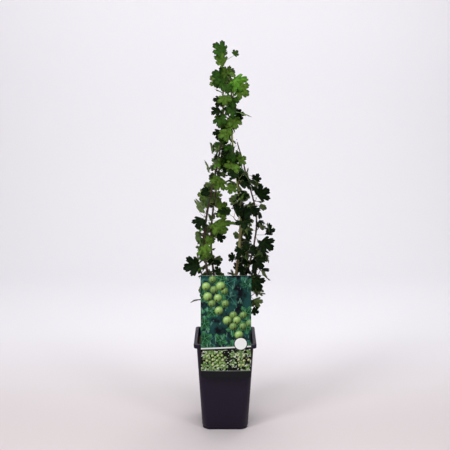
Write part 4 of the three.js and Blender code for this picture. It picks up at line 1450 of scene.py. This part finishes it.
class BUSH_OT_card(Operator):
    """Print the picture card: a bowed board with rounded lower corners and a tongue over the rim"""

    bl_idname = "bush.card"
    bl_label = "Picture card"

    def execute(self, context):
        sizes = context.scene.bush_card
        low, high = CARD_LOW, CARD_HIGH
        rear = low.y + BOARD
        middle = (low.x + high.x) / 2
        half = (high.x - low.x) / 2
        shape = bmesh.new()
        made = bmesh.ops.create_grid(shape, x_segments=1, y_segments=1, size=1)["verts"]
        for vert in made:
            right, up = vert.co.x, (vert.co.y + 1) / 2
            vert.co = (middle + half * right, rear, mix(low.z, high.z, up))
        lower = [vert for vert in made if vert.co.z < low.z + 0.001]
        bmesh.ops.bevel(
            shape, geom=lower, offset=sizes.corner, segments=8, profile=0.5, affect="VERTICES", material=-1
        )
        for strip in range(1, CARD_STRIPS):
            at = middle + half * (2 * strip / CARD_STRIPS - 1)
            whole = shape.verts[:] + shape.edges[:] + shape.faces[:]
            bmesh.ops.bisect_plane(shape, geom=whole, plane_co=(at, 0, 0), plane_no=(1, 0, 0))
        for vert in shape.verts:
            share = (vert.co.x - middle) / half
            vert.co.y -= sizes.bow * (1 - share * share)
        grown = bmesh.ops.extrude_face_region(shape, geom=shape.faces[:])["geom"]
        front = picked(bmesh.types.BMVert, grown)
        bmesh.ops.translate(shape, verts=front, vec=(0, -BOARD, 0))
        bmesh.ops.recalc_face_normals(shape, faces=shape.faces)
        shape.normal_update()
        for face in shape.faces:
            face.material_index = 0 if face.normal.y < -0.7 else 1

        over = POT_HIGH.z + TONGUE_SEAT
        behind = high.y - BOARD
        line = [(rear - sizes.bow - BOARD / 2, over), (behind - TONGUE_BEND, over)]
        for turn in (math.radians(30), math.radians(60), math.radians(90)):
            back = behind - TONGUE_BEND + TONGUE_BEND * math.sin(turn)
            line.append((back, over - TONGUE_BEND + TONGUE_BEND * math.cos(turn)))
        line.append((behind, TONGUE_FOOT))
        ends = [shape.verts.new((middle + side * TONGUE_HALF, *line[0])) for side in (-1, 1)]
        edge = shape.edges.new(ends)
        tongue = []
        for before, after in zip(line, line[1:]):
            grown = bmesh.ops.extrude_edge_only(shape, edges=[edge])["geom"]
            moved = picked(bmesh.types.BMVert, grown)
            shift = (0, after[0] - before[0], after[1] - before[1])
            bmesh.ops.translate(shape, verts=moved, vec=shift)
            tongue += picked(bmesh.types.BMFace, grown)
            edges = picked(bmesh.types.BMEdge, grown)
            edge = next(item for item in edges if set(item.verts) == set(moved))
        shape.normal_update()
        for face in tongue:
            face.material_index = 1
        thickness = -BOARD if tongue[0].normal.z > 0 else BOARD
        solid = bmesh.ops.solidify(shape, geom=tongue, thickness=thickness)["geom"]
        for face in picked(bmesh.types.BMFace, solid):
            face.material_index = 1
        materials = [paint_print(sizes.berry, sizes.band), paint_paper()]
        card = dress("picture_card", shape, materials, ["label_card"])
        card.data.set_sharp_from_angle(angle=CREASE)
        return {"FINISHED"}


CROWN_FOOT, CROWN_STEPS, CROWN_LEAN = 204.3, 34, 0.09
CROWN_PROFILE = [(0, 15), (4, 12), (14, 9.5), (22, 11), (30, 8.8), (34, 3.9)]  # height, radius
CROWN_SINK = 0.8  # how far the flare reaches into the loose compost
FLUTES, FLUTE_DEPTH = 5, 0.0016  # deep in the root flare, and run out towards the head
FURROWS, FURROW_DEPTH = 11, 0.0006  # over the whole height
COLLAR_FOOT, COLLAR_HEIGHT, COLLAR_STEPS = 224, 28, 12
COLLAR_FLARE, COLLAR_OVER = 2.2, 0.15  # how much thicker a collar is at its foot and at its top
CROWN_GREY = (0.2, 0.17, 0.14)


def around(turn, radius, along):
    """A place for noise that goes round a limb and along it, with no seam."""
    return Vector((radius * math.cos(turn), radius * math.sin(turn), along))


class BUSH_OT_crown(Operator):
    """Grow the woody crown: a fluted root flare on the compost and a collar round each stem"""

    bl_idname = "bush.crown"
    bl_label = "Crown"

    def execute(self, context):
        sizes = context.scene.bush_wood
        path, radii = [], []
        for ring in range(CROWN_STEPS + 1):
            rise = CROWN_PROFILE[-1][0] * ring / CROWN_STEPS
            place = max(at for at, row in enumerate(CROWN_PROFILE[:-1]) if row[0] <= rise)
            (low, near), (high, far) = CROWN_PROFILE[place], CROWN_PROFILE[place + 1]
            share = (rise - low) / (high - low)
            radii.append(mix(near, far, share * share * (3 - 2 * share)) * MM)
            height = CROWN_FOOT + rise - (0 if ring else CROWN_SINK)
            path.append(Vector((CROWN_LEAN * rise, 0, height)) * MM)

        def relief(turn, ring):
            flutes = FLUTE_DEPTH * (1 - ring / CROWN_STEPS) * math.cos(FLUTES * turn)
            furrows = FURROW_DEPTH * math.cos(FURROWS * turn + 1)
            return flutes + furrows + noise.noise(around(turn, 3, ring * 0.22)) * sizes.relief * 3

        shape = bmesh.new()
        add_limb(shape, path, radii, 48, relief=relief)
        for place, stem in enumerate(STEMS):
            collar, thick = [], []
            for step in range(COLLAR_STEPS + 1):
                share = step / COLLAR_STEPS
                collar.append(stem.point(COLLAR_FOOT + COLLAR_HEIGHT * share) * MM)
                thick.append((stem.foot + COLLAR_FLARE * (1 - share) ** 1.5 + COLLAR_OVER) * MM)

            def wrinkles(turn, ring, seed=place):
                return noise.noise(around(turn, 2, ring * 0.5 + seed * 9)) * sizes.relief

            add_limb(shape, collar, thick, 16, relief=wrinkles)
        materials = [paint_bark("crown_bark", sizes.old_bark, CROWN_GREY)]
        dress("crown_wood", shape, materials, ["crown"])
        return {"FINISHED"}


PLUMP, FRONT_PLUMP = 0.1, 0.4  # so much thicker the stems are drawn than their solids
PLUMP_RISE = 150  # the height over which they thicken
STEM_RING = 2.6  # from one ring of a stem to the next
NODE_SWELL, NODE_HALF = 0.00055, 2.4  # how far a node stands out, and half its height
SPINE_RADII = [0.0007, 0.00042, 0.00006]
SPINE_KEY = 500
GREENING, FRONT_GREENING = (600, 860), (440, 520)  # the bark turns green between these heights


class BUSH_OT_stems(Operator):
    """Grow the stems with ridged bark, swollen nodes and a spine beneath most nodes"""

    bl_idname = "bush.stems"
    bl_label = "Stems and spines"

    def execute(self, context):
        sizes = context.scene.bush_wood
        grey, green = (0.14, 0.11, 0.09), sizes.young_bark
        bark = paint_bark("stem_bark", sizes.bark, grey, green, GREENING)
        tan, grey, green = (0.24, 0.165, 0.08), (0.26, 0.22, 0.15), (0.34, 0.41, 0.13)
        front_bark = paint_bark("front_bark", tan, grey, green, FRONT_GREENING)
        spine_paint = paint_stalk("spine", (0.3, 0.2, 0.1), (0.2, 0.06, 0.04))
        for stem_place, stem in enumerate(STEMS):
            skin, plump = bark, PLUMP
            if stem.name == "front":
                skin, plump = front_bark, FRONT_PLUMP
            nodes = nodes_of(stem, sizes.node_gap / MM)
            foot = STUB_TOP - 20
            rings = int((stem.top - foot) / STEM_RING)
            heights = [mix(foot, stem.top, ring / rings) for ring in range(rings + 1)]
            path = [stem.point(height) * MM for height in heights]
            radii = []
            for height in heights:
                thickening = 1 + plump * min(1, (height - foot) / PLUMP_RISE)
                radii.append(stem.radius(height) * thickening * MM)

            def relief(turn, ring):
                height = heights[ring]
                ridges = noise.noise(around(turn, 1.6, height * 0.045 + stem_place * 7))
                swell = ridges * sizes.relief
                for node_height, bearing in nodes:
                    near = (height - node_height) / NODE_HALF
                    if abs(near) < 3:
                        facing = 0.35 + 0.65 * max(0, math.cos(turn - math.radians(bearing)))
                        swell += NODE_SWELL * facing * math.exp(-near * near)
                return swell

            shape = bmesh.new()
            add_limb(shape, path, radii, 10, relief=relief)
            for place, (height, bearing) in enumerate(nodes):
                roll = dice(stem_place, SPINE_KEY + place)
                prongs = int(roll(0, 1) * 1.9 + 0.35)
                for prong in range(prongs):
                    along = stem.along(height)
                    out = across(polar(bearing + 55 * prong + roll(-30, 30), 1, 0), along)
                    out = (out + along * roll(-0.45, -0.1)).normalized()
                    start = stem.point(height - 1.5) * MM
                    reach = stem.radius(height) * MM + sizes.spine * roll(0.6, 1.1)
                    spine = [start, start + out * reach * 0.55, start + out * reach]
                    add_limb(shape, spine, SPINE_RADII, 5, material=1)
            name = f"stem_{stem.name}"
            dress(f"{name}_bark", shape, [skin, spine_paint], [name])
        return {"FINISHED"}


TINT_KEY, BEND_KEY = 60, 61
SPUR_GROWTH = 0.95  # spur leaves are made a little smaller than their draws say
ROUND_SHARE = 0.35  # so many drawn leaves have the rounder outline, cut half as deep
TWIST, BROAD_TWIST = 62, 8  # how far a leaf turns about its own length at most, in degrees
TWIG_STEPS = 12
TWIG_SLIMMING = (0.95, 0.62)  # twigs are drawn slimmer than the solids' at foot and tip


class BUSH_OT_foliage(Operator):
    """Grow the shoots, spurs, stalks and leaves of every stem"""

    bl_idname = "bush.foliage"
    bl_label = "Foliage"

    def execute(self, context):
        wood, sizes = context.scene.bush_wood, context.scene.bush_foliage
        shoots = [shoot for place, stem in enumerate(STEMS) for shoot in shoots_of(stem, place)]
        room = Room(shoots)
        grown = [(shoot, grow_shoot(shoot, room)) for shoot in shoots]
        grown = [(shoot, spray) for shoot, spray in grown if spray]
        broad = {stem.name: broad_leaves(stem) for stem in STEMS}
        kept = [leaf for sprays in broad.values() for spray in sprays for leaf in spray.leaves]
        listed_leaves = list(kept)
        for shoot, spray in grown:
            spray.leaves = [
                leaf
                for place, leaf in enumerate(spray.leaves)
                if stands(leaf, shoot.seed, place) and apart(leaf, listed_leaves, SPACING)
            ]
            kept += spray.leaves
        box = [[value / MM for value in corner] for corner in CAD_BOX]
        patterns = [leaf_pattern("lobed_leaf", 1), leaf_pattern("round_leaf", 0.5)]
        blades = [
            paint_leaf("leaf_deep", sizes.deep, (0.022, 0.042, 0.012), 0.06),
            paint_leaf("leaf_mid", sizes.mid, (0.12, 0.2, 0.04), 0.07),
            paint_leaf("leaf_fresh", sizes.fresh, (0.2, 0.34, 0.07), 0.07),
            paint_leaf("leaf_under", sizes.under, (0.16, 0.23, 0.085), 0.04),
            paint_leaf("leaf_under_fresh", (0.16, 0.25, 0.06), (0.24, 0.35, 0.1), 0.04),
            paint_leaf("leaf_full", sizes.full, (0.055, 0.1, 0.02), 0.07),
        ]
        shoot_bark = paint_stalk("shoot_bark", (0.16, 0.14, 0.06), (0.17, 0.06, 0.04))
        stalk_skin = paint_stalk("stalk_skin", wood.young_bark, (0.2, 0.09, 0.05))
        for stem_place, stem in enumerate(STEMS):
            own = [(shoot, spray) for shoot, spray in grown if shoot.stem is stem]
            sprays = [spray for _, spray in own] + broad[stem.name]
            sprays += grow_spurs(stem, stem_place, wood.node_gap / MM, kept, room, box)
            nodes = [shoot.name for shoot, _ in own]
            leaves, twigs = bmesh.new(), bmesh.new()
            for spray in sprays:
                tints = spray.tints or tints_of(spray, dice(spray.seed, TINT_KEY))
                growth = 1.0 if spray.twigs or spray.tints else SPUR_GROWTH
                twist = BROAD_TWIST if spray.tints else TWIST
                for place, leaf in enumerate(spray.leaves):
                    roll = dice(spray.seed, BEND_KEY, place)
                    is_round = roll(0, 1) > 1 - ROUND_SHARE and not spray.tints
                    add_leaf(leaves, patterns[is_round], leaf, growth, twist, sizes.thickness, tints, roll)
                    add_stalk(twigs, leaf)
                for points, foot, tip in spray.twigs:
                    points = cut_back(points, spray.leaves)
                    start = points[0]
                    if (start - spray.base).length < 0.01:
                        start = stem.point(min(start.z, stem.top))
                    line = smooth_path([start, *points[1:]], TWIG_STEPS)
                    ends = foot * TWIG_SLIMMING[0], tip * TWIG_SLIMMING[1]
                    radii = [mix(*ends, step / TWIG_STEPS) * MM for step in range(TWIG_STEPS + 1)]
                    add_limb(twigs, [point * MM for point in line], radii, 8)
            dress(f"leaves_{stem.name}", leaves, blades, nodes)
            dress(f"twigs_{stem.name}", twigs, [shoot_bark, stalk_skin], nodes)
        for mesh in [mesh for mesh in bpy.data.meshes if mesh.users == 0]:
            bpy.data.meshes.remove(mesh)
        return {"FINISHED"}


PAPER_FRONT, PAPER_BACK, PAPER_COVE = -2.4, 1.5, 0.9  # ends of the flat floor, and the curve's radius
PAPER_TOP, PAPER_HALF = 3.2, 2.6
PLANT, LOW_PLANT = (0, 0, 0.45), (0, 0, 0.4)  # where most lights point
# Soft lights: the name, the place, the size, the power and where it points.
LIGHTS = [
    ("key_light", (-1.6, -1.7, 1.9), 0.8, 30, PLANT),
    ("right_light", (1.6, -1.7, 1.9), 0.8, 16, PLANT),
    ("high_light", (0, -1.3, 2.7), 1.0, 20, LOW_PLANT),
    ("top_light", (0.1, 0.3, 2.6), 1.4, 25, PLANT),
    ("back_light", (1.2, 1.3, 2.2), 1.0, 4, PLANT),
    ("left_backdrop_light", (-1.25, 0.5, 1.9), 1.2, 13, (-1.1, 2.4, 1.5)),
    ("right_backdrop_light", (1.25, 0.5, 1.9), 1.2, 13, (1.1, 2.4, 1.5)),
]
FILL, SEEN = 0.12, 0.95  # the world's strength as a light, and where the camera sees it


class BUSH_OT_stage(Operator):
    """Set the camera, a curved paper backdrop and soft studio lights"""

    bl_idname = "bush.stage"
    bl_label = "Stage"

    def execute(self, context):
        sizes = context.scene.bush_stage
        lens = bpy.data.cameras.new("camera")
        lens.lens = sizes.lens
        camera = bpy.data.objects.new("camera", lens)
        camera.location = (-0.0003, -sizes.distance, sizes.camera_height)
        camera.rotation_euler = (math.pi / 2 - sizes.pitch, 0, 0)
        context.scene.collection.objects.link(camera)
        context.scene.camera = camera

        shape = bmesh.new()
        made = bmesh.ops.create_grid(shape, x_segments=1, y_segments=48, size=1)["verts"]
        wall = PAPER_BACK + PAPER_COVE
        for vert in made:
            share = (vert.co.y + 1) / 2
            if share <= 0.25:
                y, z = mix(PAPER_FRONT, PAPER_BACK, share / 0.25), 0
            elif share <= 0.75:
                turn = (share - 0.25) / 0.5 * math.pi / 2
                y, z = PAPER_BACK + PAPER_COVE * math.sin(turn), PAPER_COVE * (1 - math.cos(turn))
            else:
                y, z = wall, mix(PAPER_COVE, PAPER_TOP, (share - 0.75) / 0.25)
            vert.co = (vert.co.x * PAPER_HALF, y, z)
        backdrop = make_piece("backdrop", shape, [paint_backdrop(sizes.paper)])

        for name, place, size, power, aim in LIGHTS:
            light = bpy.data.lights.new(name, "AREA")
            light.size = size
            light.energy = power
            lamp = bpy.data.objects.new(name, light)
            lamp.location = place
            lamp.rotation_euler = (Vector(aim) - Vector(place)).to_track_quat("-Z", "Y").to_euler()
            context.scene.collection.objects.link(lamp)
        world = bpy.data.worlds.new("studio")
        world.use_nodes = True
        background = world.node_tree.nodes["Background"]
        background.inputs["Color"].default_value = opaque(sizes.paper)
        seen = world.node_tree.nodes.new("ShaderNodeLightPath").outputs["Is Camera Ray"]
        strength = world.node_tree.nodes.new("ShaderNodeMapRange")
        strength.inputs["To Min"].default_value = FILL
        strength.inputs["To Max"].default_value = SEEN
        world.node_tree.links.new(seen, strength.inputs["Value"])
        world.node_tree.links.new(strength.outputs[0], background.inputs["Strength"])
        context.scene.world = world
        context.scene.view_settings.view_transform = "Standard"
        return {"FINISHED"}


class BUSH_PT_panel(Panel):
    """Builds the bush piece by piece"""

    bl_idname = "BUSH_PT_panel"
    bl_label = "Gooseberry bush"
    bl_space_type = "VIEW_3D"
    bl_region_type = "UI"
    bl_category = "Bush"

    def draw(self, context):
        for operator, group in STEPS:
            box = self.layout.box()
            box.operator(operator.bl_idname)
            for name in group.__annotations__ if group else ():
                box.prop(getattr(context.scene, SETTINGS[group]), name)


SETTINGS = {
    BUSH_PG_stage: "bush_stage",
    BUSH_PG_pot: "bush_pot",
    BUSH_PG_soil: "bush_soil",
    BUSH_PG_card: "bush_card",
    BUSH_PG_wood: "bush_wood",
    BUSH_PG_foliage: "bush_foliage",
}
STEPS = [
    (BUSH_OT_stage, BUSH_PG_stage),
    (BUSH_OT_pot, BUSH_PG_pot),
    (BUSH_OT_soil, BUSH_PG_soil),
    (BUSH_OT_card, BUSH_PG_card),
    (BUSH_OT_crown, None),
    (BUSH_OT_stems, BUSH_PG_wood),
    (BUSH_OT_foliage, BUSH_PG_foliage),
]
CLASSES = [*SETTINGS, *(operator for operator, _ in STEPS), BUSH_PT_panel]


def register():
    for item in CLASSES:
        bpy.utils.register_class(item)
    for group, name in SETTINGS.items():
        setattr(bpy.types.Scene, name, PointerProperty(type=group))


def unregister():
    for name in SETTINGS.values():
        delattr(bpy.types.Scene, name)
    for item in reversed(CLASSES):
        bpy.utils.unregister_class(item)


def main():
    register()
    bpy.ops.bush.stage()
    bpy.ops.bush.pot()
    bpy.ops.bush.soil()
    bpy.ops.bush.card()
    bpy.ops.bush.crown()
    bpy.ops.bush.stems()
    bpy.ops.bush.foliage()
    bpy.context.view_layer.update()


if __name__ == "__main__":
    main()
